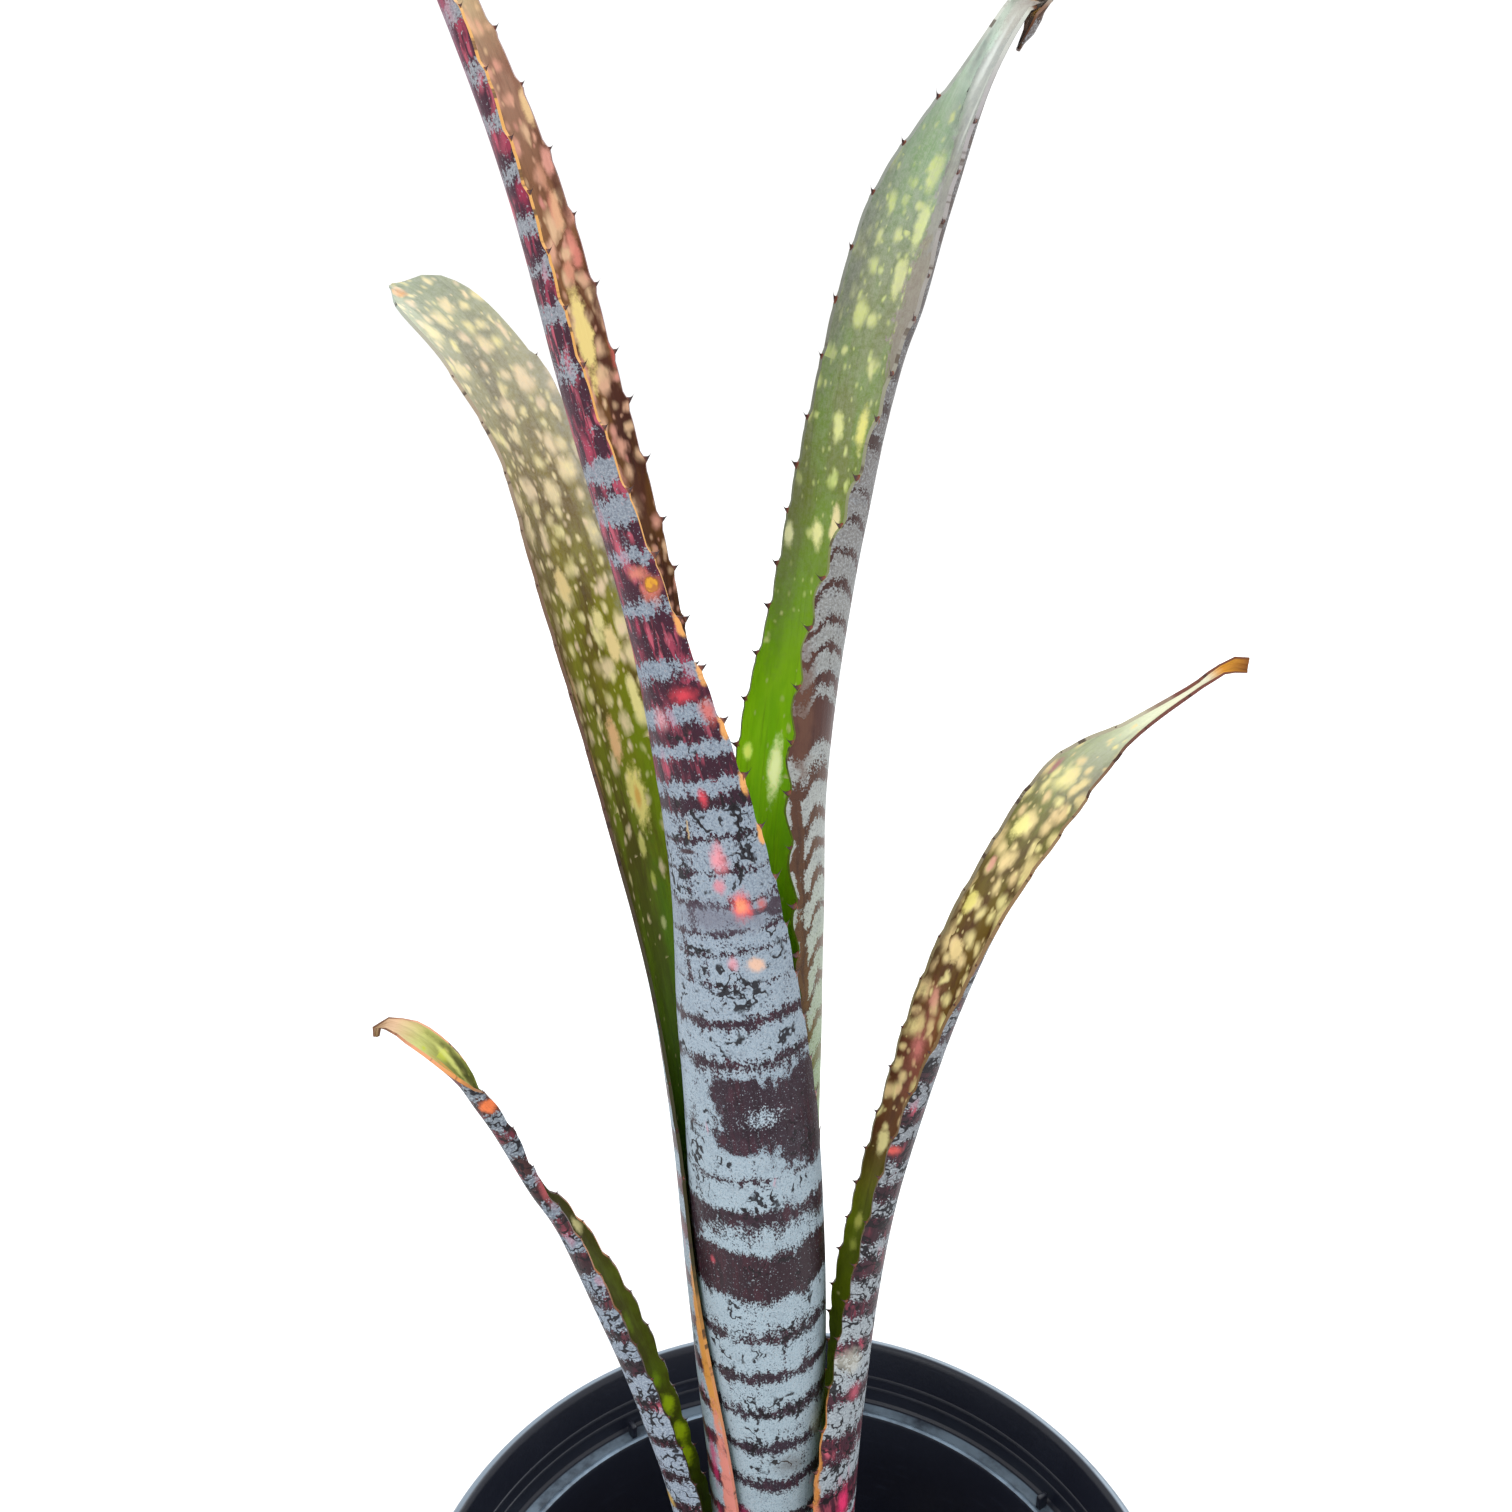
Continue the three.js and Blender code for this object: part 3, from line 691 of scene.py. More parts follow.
def one_mark(blade, across, along, wide, long, soft):
    """A mask of one mark by its place, its half width and its half length on the blade"""
    inputs = {"Blade": blade, "Place": (across, along, 0), "Half": (wide, long, 1), "Soft": soft}
    return add(blade.tree, "Group", inputs, node_tree=mark_group)


def along_curve(value, length, points, top=1):
    """A value that follows these (length, value) points along the blade"""
    curve = add(value.tree, "FloatCurve", {"Value": value / length})
    mapping = curve.node.mapping
    line = mapping.curves[0].points
    while len(line) < len(points):
        line.new(0.5, 0.5)
    for point, (at, height) in zip(line, points):
        point.location = (at / length, height / top)
        point.handle_type = "VECTOR"
    mapping.update()
    return curve * top


def along_ramp(value, length, stops):
    """A colour that follows these stops along the blade, each a length, red, green and blue"""
    ramp = add(value.tree, "ValToRGB", {0: value / length})
    colours = ramp.node.color_ramp.elements
    while len(colours) < len(stops):
        colours.new(0.5)
    for element, (at, *colour) in zip(colours, stops):
        element.position = at / length
        element.color = paint(*colour)
    return ramp


def blade_place(tree, seed):
    """The blade's own flat coordinates in millimetres, with the leaf's seed in the third"""
    return add(tree, "UVMap", uv_map="blade").vector("ADD", (0, 0, seed * 7.3))


def marked(place, colour, marks):
    """Paints each mark, given as across, along, half width, half length, colour, share and softness, which is 0.9
    if left out. The thin ones are cracks and veins, which wander"""
    drift = add(place.tree, "TexNoise", {"Vector": stretched(place, 0.42, 0.34), "Scale": 1})["Color"]
    astray = drift.vector("SUBTRACT", (0.5, 0.5, 0.5)).vector("MULTIPLY_ADD", (5, 5, 0), place)
    for across, along, wide, long, shade, share, *soft in marks:
        blade = astray if min(wide, long) < 0.6 else place
        mask = one_mark(blade, across, along, wide, long, *(soft or [0.9]))
        colour = blended(mask * share, colour, shade)
    return colour


def back_finish(
    name, seed, length, bands, tissue, scales, pinks, cracks,
    bare=(), pale=(), cracked=(), marks=(), rubbed=1.6, fray=3.6, arch=0, crown=0,
):
    """The back of a leaf. bands are its bare bands as (length, half width), tissue and scales the colours along it,
    pinks and cracks the shares of blushes and cracks, bare and pale further patches without or with scurf"""
    material, tree, skin = new_finish(name, Specular_IOR_Level=0.2)
    place = blade_place(tree, seed)
    lengthwise = {"Blade": place, "Wobble": 2.6, "Fray": fray, "Arch": arch, "Crown": crown}
    reach = add(tree, "Group", lengthwise, node_tree=fray_group)
    places = [at for at, half in bands]
    widths = []
    for k, (at, half) in enumerate(bands):
        gaps = [abs(places[j] - at) for j in (k - 1, k + 1) if 0 <= j < len(places)]
        widths.append((at, min(half * len(gaps) / sum(gaps), 0.62)))
    count = along_curve(reach, length, [(at, k) for k, at in enumerate(places)], len(places) - 1)
    scaly = {"Blade": place, "Count": count, "Width": along_curve(reach, length, widths), "Rubbed": rubbed}
    scaly.update({"Cracks": along_curve(reach, length, cracks), "Patch": 0})
    for spot in cracked:
        scaly["Patch"] = one_mark(place, *spot, 0.3).maths("MAXIMUM", scaly["Patch"])
    scurf = add(tree, "Group", scaly, node_tree=scurf_group)
    cover = scurf["Cover"]
    grain = streaks(place, 3.4, 2.5, 3, 0.65)
    for patches, keeps, share, soft in ((bare, 0, 1, 0.45), (pale, 1, 0.62, 0.9)):
        for spot in patches:
            grainy = (grain - 0.5).scaled(2.8, one_mark(place, *spot, soft) * share)
            cover = add(tree, "Mix", {0: between(grainy, 0.3, 0.7), 2: cover, 3: keeps})
    streak = streaks(place, 1.1, 0.07, 3, 0.6)
    dark = blended(between(streak, 0.45, 0.75) * 0.6, along_ramp(reach, length, tissue), (30, 16, 24))
    amount = along_curve(reach, length, pinks)
    rosy = {"Blade": place, "Wide": 3.4, "Long": 10, "Amount": amount, "Soft": 0.95}
    blush = add(tree, "Group", rosy, node_tree=oval_group)
    rose = blended(blush["Tone"], (138, 36, 66), (196, 92, 110))
    glow = between(streaks(place, 1.3, 0.24), 0.47, 0.6) * between(streaks(place, 0.22, 0.13), 0.4, 0.56)
    glow = (glow * amount.maths("MINIMUM", 1) * 0.85).maths("MAXIMUM", blush["Mask"])
    dark = blended(glow * between(streak, 0.3, 0.5), dark, rose)
    silver = between(streaks(place, 0.35, 0.3, 5, 0.75), 0.5, 0.3)
    silvery = blended(silver * 0.3, along_ramp(reach, length, scales), (96, 104, 116))
    silvery = blended(between(grain, 0.5, 0.66) * 0.4, silvery, (206, 216, 222))
    silvery = blended(between(grain, 0.47, 0.34) * 0.45, silvery, (74, 76, 88))
    silvery = blended(blush["Mask"] * 0.4, silvery, (190, 118, 138))
    colour = blended(scurf["Crack"] * 0.95, blended(cover, dark, silvery), (26, 22, 26))
    height = scurf["Relief"] + streaks(place, 1.8, 0.02) * 0.8
    dress(skin, marked(place, colour, marks), cover.scaled(0.22, 0.42), height, 0.00012, 0.7)
    return material


def face_finish(name, seed, length, base, second, windows, flecks, tones, haze=((0, 0), (1, 0)), marks=(), lit=()):
    """The inner face of a leaf. base and second are its tissue colours, windows and flecks the shares of ovals, haze
    the share of a pale painted glare along it, lit the windows that glow with painted light, as if lit through from
    behind"""
    material, tree, skin = new_finish(name, Specular_IOR_Level=0.2)
    place = blade_place(tree, seed)
    along = add(tree, "SeparateXYZ", {0: place})["Y"]
    streak = between(streaks(place, 0.22, 0.05, 5, 0.65), 0.4, 0.6)
    colour = blended(streak, along_ramp(along, length, base), along_ramp(along, length, second))
    fibre = streaks(place, 2.2, 0.06, 3, 0.6)
    colour = blended(between(fibre, 0.5, 0.8) * 0.3, colour, (36, 32, 10))
    window = along_curve(along, length, windows)
    fleck = along_curve(along, length, flecks)
    layers = ((4.4, 8.2, 0.8, 0.92, window), (2.5, 4.6, 0.85, 0.85, window), (1.3, 2.6, 0.9, 0.55, fleck))
    for wide, long, soft, share, amount in layers:
        inputs = {"Blade": place, "Wide": wide, "Long": long, "Amount": amount, "Soft": soft}
        oval = add(tree, "Group", inputs, node_tree=oval_group)
        colour = blended(oval["Mask"] * share, colour, blended(oval["Tone"], *tones))
    # A pale painted glare, as of light hazing over the face from behind, in the share that haze gives along the leaf
    glare = between(streaks(place, 1.5, 1.1, 5, 0.8), 0.3, 0.7) * along_curve(along, length, haze)
    colour = blended(glare, marked(place, colour, marks), (196, 198, 188))
    dress(skin, colour, fibre.scaled(0.2, 0.36), fibre, 0.00012, 0.6)
    # The lit windows glow with painted light: emission stands in for light that comes through the leaf from behind
    if lit:
        marked(place, (0, 0, 0), lit).feed(skin.inputs["Emission Color"])
        skin.inputs["Emission Strength"].default_value = 0.36
    return material


def edge_finish(name, seed, length, shades, dark=(52, 30, 24), other=None):
    """The thin cut edge of a blade, with its colours along the leaf, browned in places. The margin on the side of
    positive across may have others"""
    material, tree, skin = new_finish(name, Specular_IOR_Level=0.25)
    place = blade_place(tree, seed)
    split = add(tree, "SeparateXYZ", {0: place})
    slow = streaks(place, 0.2, 0.12, 3, 0.6)
    reach = slow.scaled(24, split["Y"] - 12)
    colour = along_ramp(reach, length, shades)
    if other:
        colour = blended(split["X"].maths("GREATER_THAN", 0), colour, along_ramp(reach, length, other))
    brown = between(streaks(place, 0.5, 0.35, 3, 0.6), 0.58, 0.66)
    dress(skin, blended(brown * 0.8, colour, dark), slow.scaled(0.2, 0.4), slow, 0.0001, 0.5)
    return material


# The spines are of horny tissue, red brown at the foot and near black at the point. Their UV layer has the name
# that the blades' has, and holds the height above the foot
layer = spine.data.uv_layers[0]
layer.name = "blade"
for loop in spine.data.loops:
    layer.data[loop.index].uv = (0, spine.data.vertices[loop.vertex_index].co.z / MM)
horn, tree, skin = new_finish("spine_horn", Specular_IOR_Level=0.5)
height = add(tree, "SeparateXYZ", {0: add(tree, "UVMap", uv_map="blade")})["Y"]
mottle = speckle(add(tree, "TexCoord")["Object"], 900, 3, 0.6)
colour = blended(between(mottle.scaled(0.9, height), 0.35, 1.5), (132, 62, 34), (54, 26, 26))
dress(skin, colour, mottle.scaled(0.2, 0.3), mottle, 0.00005, 0.5)
spine.data.materials.append(horn)


def dressed_leaf(name, node, stations, spines, finishes, columns, seed, sizes, **shape):
    """Builds a leaf, dresses its back, face and edge, sets its spines and lets it stand for its CAD node"""
    blade, *laid_out = rolled_blade(name, stations, spines, columns, **shape)
    for finish in finishes:
        blade.data.materials.append(finish)
    only(blade)
    bpy.ops.object.modifier_apply(modifier="blade_thickness")
    smooth(angle=55)
    blade.vertex_groups.clear()
    set_spines(blade, *laid_out, spines, sizes, seed, shape.get("scallops", SCALLOPS))
    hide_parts(node)
    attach(blade, "root")


# Front leaf
# The widest leaf, rolled into most of the tube. Its back is silver with dark rings low down, and crimson and silver
# by turns where it narrows. A round scar with an orange halo sits beside the near margin.
FRONT_LENGTH = 379
FRONT_SPINES = spine_places(160, 368, 8.4, 11)
front_bands = [
    (4, 1.6), (13, 1.8), (22, 1.5), (30.5, 1.8), (40, 1.6), (49, 1.8), (57.5, 1.6), (66, 1.7), (75.2, 1.5),
    (83.8, 1.3), (92.5, 1.3), (101.8, 1.2), (110.3, 1.2), (118.5, 1.1), (126.9, 0.8), (141.5, 7.4), (153.5, 1.3),
    (160.5, 0.3), (170, 0.2), (182.5, 1), (190, 0.9), (197, 0.1), (202.4, 0.1), (205.6, 0.3), (210.9, 0.45),
    (215.9, 0.2), (221.3, 0.4), (226.9, 0.9), (232.3, 2.3), (237.8, 1.3), (243, 1.8), (252.6, 4.4), (262, 2.8),
    (268, 2.3), (274.9, 1), (281, 2.6), (286, 6.2), (297, 1.6), (303.4, 2.1), (309, 1.7), (315.5, 2.2), (322.4, 2.4),
    (329, 1.8), (336.4, 2.6), (343.5, 2), (350, 2.4), (356, 2), (362, 2.4), (368, 2), (375, 2),
]


def drawn_crack(across, along, wide, long, share=0.95):
    return across, along, wide, long, (24, 20, 24), share, 0.3


front_back = back_finish(
    "front_leaf_back", 1, FRONT_LENGTH, front_bands,
    [
        (0, 54, 42, 52), (110, 50, 40, 50), (141, 44, 26, 34), (160, 46, 32, 42), (225, 44, 22, 36),
        (245, 58, 20, 38), (379, 66, 34, 50),
    ],
    [
        (0, 154, 172, 182), (150, 150, 167, 178), (200, 138, 152, 166), (250, 120, 131, 145), (300, 126, 130, 138),
        (379, 130, 132, 136),
    ],
    [(0, 0.04), (225, 0.05), (232, 0.5), (250, 0.85), (379, 0.95)],
    [(0, 0.04), (110, 0.06), (160, 0.06), (185, 0.05), (226, 0.05), (240, 0), (379, 0)],
    bare=[
        (-8, 173, 10.5, 8), (-16, 169, 10.5, 10.5), (-4, 177.5, 6.5, 3.8), (-3.5, 168.5, 5.5, 3.6), (-17, 175, 9, 7),
        (9.5, 149.5, 4.6, 4.2), (-15.4, 208.4, 2.6, 1.9), (-13, 208.6, 3, 0.7),
    ],
    pale=[(-7.4, 172.3, 5, 3.2)],
    cracked=[
        (-12.6, 222, 1.6, 7), (-8, 224, 2.2, 1.4), (-7.6, 195, 4.6, 3.2), (-1.4, 202.8, 2.8, 1.2), (-4.5, 198, 4, 3),
        (-1.6, 214, 1.6, 5), (3.4, 194.6, 1, 1.2), (6, 184, 1.6, 1.4), (5.6, 165, 2.2, 6), (-6, 156, 3, 3),
        (-10, 128, 4, 3), (-6, 111, 5, 3.5), (-1, 105, 1.6, 16), (0.5, 132, 1.4, 5),
    ],
    rubbed=2.2, fray=4.2,
    marks=[
        (-6, 208.4, 15, 4.4, (98, 92, 106), 0.6), drawn_crack(-12.1, 222.4, 0.34, 4.8),
        drawn_crack(-11.6, 225.4, 1.1, 0.35), drawn_crack(-10.8, 227, 0.3, 1.7), drawn_crack(-13.2, 227.4, 0.9, 0.35),
        drawn_crack(-10.5, 215.6, 0.32, 2.4), drawn_crack(-12.9, 218.2, 0.3, 1.8, 0.9),
        drawn_crack(-9.6, 213.4, 0.3, 1.3, 0.9), drawn_crack(-7.5, 223.7, 1.9, 0.36),
        drawn_crack(-6.6, 224.7, 0.34, 1.1), drawn_crack(-1, 202.7, 2.4, 0.4),
        (-4.4, 222.8, 0.45, 1.6, (176, 150, 110), 0.9, 0.4), (-3.4, 219.4, 2, 0.6, (58, 34, 38), 0.9, 0.4),
        drawn_crack(-7.4, 157.6, 0.35, 1.8), drawn_crack(-11.4, 157.8, 0.3, 1.2), drawn_crack(-13.4, 158.4, 0.3, 1.2),
        (-13.4, 126.6, 3, 0.4, (40, 34, 42), 0.9, 0.3), (-13.8, 119.6, 2.4, 0.4, (40, 34, 42), 0.9, 0.3),
        (-8.3, 218, 1.9, 3.4, (226, 140, 150), 0.85), (-7.4, 213.6, 1.3, 1.6, (224, 120, 130), 0.6),
        (-9.9, 210, 2.2, 3.3, (232, 92, 92), 0.9, 0.95), (-9.9, 210, 1.1, 1.7, (240, 150, 110), 0.9, 0.8),
        (-12.9, 209.6, 1.2, 1.6, (200, 90, 80), 0.7), (-10.3, 199.8, 2, 1.8, (224, 180, 152), 0.85, 0.7),
        (-7, 200.6, 1.2, 1.6, (222, 146, 156), 0.7), (-9.2, 243.6, 3, 1.9, (206, 62, 76), 0.85),
        (-12, 240.6, 1.5, 3.2, (204, 98, 88), 0.8), (-4.6, 240.4, 2, 2.6, (204, 140, 148), 0.8),
        (-8, 228, 1, 2, (214, 70, 84), 0.8), (-9.4, 260.2, 1.9, 3.2, (206, 116, 98), 0.9, 0.8),
        (-8.2, 262.4, 1.9, 1.7, (206, 126, 106), 0.8), (-9.6, 260.6, 1.15, 1.45, (134, 78, 32), 0.95, 0.3),
        (-9.6, 260.6, 0.92, 1.2, (204, 146, 44), 1, 0.3), (-9.7, 260.5, 0.5, 0.75, (170, 108, 52), 1, 0.5),
        (-2.6, 330, 1.6, 62, (150, 84, 112), 0.4), (-7, 97, 4.5, 4, (70, 52, 34), 0.5),
        (-13.5, 103, 2.4, 5, (196, 200, 184), 0.45), (4, 143, 0.8, 1.3, (200, 84, 96), 0.6),
        (3, 84, 4, 3, (196, 60, 110), 0.5),
    ]
    # The orange margin shows on the back too, under each spine of the near side
    + [
        (0.104 * (at - 226) - 14.5, at - 0.8, 0.65, 2.2, (226, 162, 92), 0.9, 0.5)
        for at in FRONT_SPINES[1]
        if 216 < at < 256
    ],
)
front_face = face_finish(
    "front_leaf_face", 2, FRONT_LENGTH,
    [
        (0, 52, 84, 16), (160, 60, 88, 18), (235, 66, 32, 20), (282, 74, 38, 28), (300, 92, 52, 34),
        (318, 104, 64, 46), (333, 146, 106, 88), (342, 188, 162, 130), (356, 196, 182, 126), (379, 200, 206, 140),
    ],
    [
        (0, 74, 116, 20), (170, 96, 110, 30), (245, 80, 48, 20), (282, 112, 74, 34), (300, 134, 92, 54),
        (318, 142, 100, 72), (333, 172, 136, 116), (342, 206, 184, 148), (356, 208, 200, 138), (379, 206, 212, 150),
    ],
    [(0, 0.1), (180, 0.3), (245, 1), (290, 1.1), (305, 0.95), (345, 0.95), (362, 0.7), (379, 0.5)],
    [(0, 0.1), (240, 0.6), (345, 0.8), (379, 0.2)],
    [(244, 212, 168), (230, 156, 146)],
    marks=[
        (1.6, 312, 2.4, 26, (140, 104, 62), 0.45), (8.6, 260, 1.1, 6, (196, 150, 66), 0.6),
        (8.4, 272, 1.8, 5, (84, 46, 32), 0.85, 0.8), (5.6, 296.5, 1.6, 8.4, (252, 232, 150), 1, 0.5),
        (7, 309, 1, 3.6, (238, 158, 140), 0.9, 0.8), (5.6, 314, 0.9, 3.2, (230, 150, 130), 0.8, 0.8),
        (9.2, 294, 0.7, 3.4, (230, 120, 110), 0.8, 0.8), (7.3, 317, 0.9, 9, (92, 54, 44), 0.8, 0.8),
        (8.4, 301, 0.9, 6, (86, 48, 36), 0.8, 0.8), (6.4, 327.4, 0.9, 3.2, (246, 214, 160), 0.95, 0.6),
        (6.7, 320.2, 0.8, 2.4, (236, 172, 156), 0.9, 0.7), (5.4, 318.6, 0.7, 2.8, (214, 158, 130), 0.8, 0.8),
        (6, 313.4, 1, 3.4, (242, 190, 150), 0.95, 0.6), (7.4, 307.2, 0.8, 2, (226, 142, 128), 0.9, 0.7),
        (5.6, 305.6, 1, 2.4, (232, 164, 136), 0.9, 0.7),
    ],
)
front_edge = edge_finish(
    "front_leaf_edge", 3, FRONT_LENGTH,
    [(0, 84, 60, 44), (180, 74, 50, 38), (222, 120, 92, 66), (238, 216, 156, 84), (379, 222, 166, 88)],
    other=[(0, 84, 60, 44), (180, 74, 50, 38), (235, 96, 56, 50), (300, 112, 62, 62), (379, 140, 96, 84)],
)
dressed_leaf(
    "front_leaf", "leaf_front", LEAF_FRONT, FRONT_SPINES, [front_back, front_face, front_edge],
    columns=24, seed=21, sizes=(1, 0.36), scallops=(0.25, SCALLOPS[1]),
)

# Back right leaf
# A tall leaf whose inner face turns from bright green at the tube to grey green above. The bright green low down is
# painted lighter for light that comes through the leaf from behind, and a pale painted glare lies over the upper
# part.
# It folds along its midrib near the top, and its point has dried and hooked over.
RIGHT_TALL_LENGTH = 358
tall_bands = [(6 + 9.5 * k, 1.9) for k in range(15)] + [(146, 1.5), (154, 1.6), (162, 1.6), (170, 1.6), (177.4, 1.6)]
tall_bands += [(185.6, 1.3), (192.5, 1), (198.3, 1.1), (204.5, 0.6), (209.4, 0.9), (214.6, 0.9), (219.6, 1)]
tall_bands += [(225.3, 0.9), (236.4, 5.2), (241.8, 0.7), (246.3, 0.6), (250.5, 0.6), (255.2, 0.6), (260.2, 0.7)]
tall_bands += [(265.4, 0.6), (269.2, 0.4), (277.3, 0.9), (282.2, 0.9)] + [(288 + 5.6 * k, 1.2) for k in range(12)]
tall_back = back_finish(
    "back_right_leaf_back", 4, RIGHT_TALL_LENGTH, tall_bands,
    [(0, 80, 60, 34), (165, 96, 112, 20), (190, 96, 70, 40), (235, 76, 46, 40), (290, 56, 42, 40), (358, 72, 46, 30)],
    [
        (0, 150, 160, 150), (170, 150, 172, 130), (192, 160, 172, 152), (215, 160, 164, 160), (240, 142, 144, 142),
        (275, 116, 112, 110), (300, 92, 86, 84), (358, 110, 104, 102),
    ],
    [(0, 0), (358, 0)],
    [(0, 0), (358, 0)],
    bare=[(14.4, 190, 1.2, 22), (14.3, 215, 1, 13)],
    marks=[(13.4, 236, 2.2, 14, (98, 66, 52), 0.8, 0.8)],
    arch=0.62, crown=10.6, fray=2.6,
)
tall_face = face_finish(
    "back_right_leaf_face", 5, RIGHT_TALL_LENGTH,
    [
        (0, 76, 130, 6), (170, 116, 190, 0), (228, 140, 208, 0), (250, 112, 150, 12), (270, 110, 122, 44),
        (300, 126, 136, 92), (325, 138, 160, 134), (338, 196, 214, 202), (345, 206, 220, 206), (348, 60, 34, 24),
        (358, 44, 28, 26),
    ],
    [
        (0, 88, 144, 8), (170, 136, 206, 0), (228, 160, 220, 10), (250, 122, 166, 16), (270, 112, 138, 46),
        (300, 122, 146, 90), (325, 146, 174, 140), (338, 210, 228, 214), (345, 222, 232, 214), (348, 150, 90, 30),
        (358, 70, 40, 28),
    ],
    [(0, 0), (215, 0), (245, 0.2), (262, 0.25), (285, 0.35), (300, 0.8), (320, 0.6), (334, 0)],
    [(0, 0), (225, 0.1), (255, 0.4), (290, 0.4), (315, 0.7), (334, 0)],
    [(206, 222, 128), (222, 226, 150)],
    haze=[(0, 0), (240, 0), (252, 0.1), (275, 0.2), (300, 0.35), (345, 0.5), (358, 0)],
    marks=[
        (-11.5, 268, 4, 34, (112, 108, 80), 0.6), (-8.5, 304, 3.4, 24, (116, 120, 112), 0.8),
        # The long window at 222.3 along is painted near white, for the light that comes through it from behind
        (-3.4, 322, 2.6, 18, (124, 160, 96), 0.5), (-8.7, 222.3, 1.6, 6.4, (250, 255, 206), 1, 0.7),
        (-13.7, 225, 1, 1.8, (226, 246, 130), 0.95, 0.8), (-6.4, 262.5, 1.3, 3.4, (252, 250, 176), 0.95, 0.7),
        (-3.3, 264, 1.1, 4.6, (252, 236, 180), 0.95, 0.6), (-11.2, 262, 1.1, 2.8, (250, 246, 196), 0.9, 0.7),
        (-0.6, 279.6, 1.2, 4.4, (240, 236, 130), 0.95, 0.7), (-4.6, 279.6, 1.1, 3, (238, 242, 160), 0.9, 0.7),
        (2, 274, 1.6, 4, (206, 200, 90), 0.8, 0.8), (3.6, 284, 1.2, 12, (138, 118, 60), 0.7),
        # The grey lilac panels beyond the fold are painted shade on the half of the blade that turns away from the
        # light
        (8.2, 302, 7.6, 26, (146, 134, 130), 0.95, 0.16), (6.6, 322, 6.4, 16, (152, 148, 152), 0.95, 0.16),
        (2.6, 335, 4.2, 13, (160, 162, 162), 0.9, 0.4), (0.6, 346, 2.6, 7, (168, 162, 156), 0.8, 0.6),
        (-2.3, 338.5, 0.62, 6, (118, 124, 122), 0.6), (-1, 331, 0.62, 6, (118, 124, 122), 0.6),
        (1, 323.5, 0.62, 6, (118, 116, 112), 0.6), (0.2, 338, 0.6, 9, (228, 234, 230), 0.7),
        (2.4, 330, 0.6, 9, (224, 228, 224), 0.6), (4.4, 325, 0.62, 12, (118, 114, 112), 0.5),
        (0.6, 350.2, 1.5, 2.6, (206, 150, 48), 0.9, 0.6), (-0.6, 320, 1, 4.5, (212, 226, 150), 0.85, 0.7),
        (0.3, 312, 1.2, 5, (226, 236, 160), 0.9, 0.6), (-0.3, 303.5, 1.1, 4.6, (226, 232, 160), 0.9, 0.6),
    ],
    # These two low windows glow with painted light, as if lit through from behind
    lit=[(-8.7, 222.3, 1.6, 6.6, (236, 250, 156), 1, 0.7), (-13.7, 225, 1, 1.8, (236, 246, 100), 0.8, 0.8)],
)
tall_edge = edge_finish(
    "back_right_leaf_edge", 6, RIGHT_TALL_LENGTH,
    [
        (0, 84, 110, 20), (200, 96, 126, 24), (250, 92, 102, 62), (290, 104, 106, 94), (330, 140, 146, 138),
        (346, 196, 200, 190), (350, 110, 70, 44), (358, 60, 38, 30),
    ],
    dark=(76, 62, 50),
    other=[
        (0, 84, 110, 20), (200, 96, 126, 24), (250, 120, 134, 66), (290, 142, 138, 128), (330, 158, 154, 156),
        (346, 196, 200, 190), (350, 110, 70, 44), (358, 60, 38, 30),
    ],
)
dressed_leaf(
    "back_right_leaf", "leaf_back_right", LEAF_BACK_RIGHT, spine_places(150, 332, 8.2, 12),
    [tall_back, tall_face, tall_edge], columns=20, seed=22, sizes=(0.95, 0.7), dry=15, scallops=(1.4, 0.45),
    crease=(
        1.4,
        [(262, 0.3), (285, 0.18), (300, 0.12), (316, 0.16), (322, 0.1), (328, -0.1), (335, -0.4), (348, -0.6)],
    ),
)

# Back left leaf
# A broad leaf that arches over to the left. Its inner face is green at the tube, then olive and brown under many
# cream windows, with a pale painted glare towards its round end. Low down its near margin is a wide membrane, gold
# above and pink below, that laps over the front leaf.
BROAD_LENGTH = 315
broad_bands = [(5 + 8.6 * k, 1.7) for k in range(16)] + [(144 + 8 * k, 1.8) for k in range(21)]
broad_back = back_finish(
    "back_left_leaf_back", 7, BROAD_LENGTH, broad_bands,
    [(0, 70, 36, 50), (110, 62, 32, 44), (220, 60, 40, 34), (315, 90, 68, 54)],
    [(0, 150, 168, 180), (150, 140, 156, 168), (315, 128, 140, 146)],
    [(0, 0.4), (120, 0.3), (200, 0.3), (315, 0.3)],
    [(0, 0.04), (315, 0.02)],
    marks=[
        (-13.6, 94, 2, 8, (196, 50, 104), 0.75), (-13.4, 78, 2.2, 6, (206, 60, 112), 0.8),
        (-17.2, 122, 1.9, 24, (200, 138, 66), 1, 0.4), (-17, 80, 2.3, 32, (208, 130, 118), 1, 0.4),
    ],
)
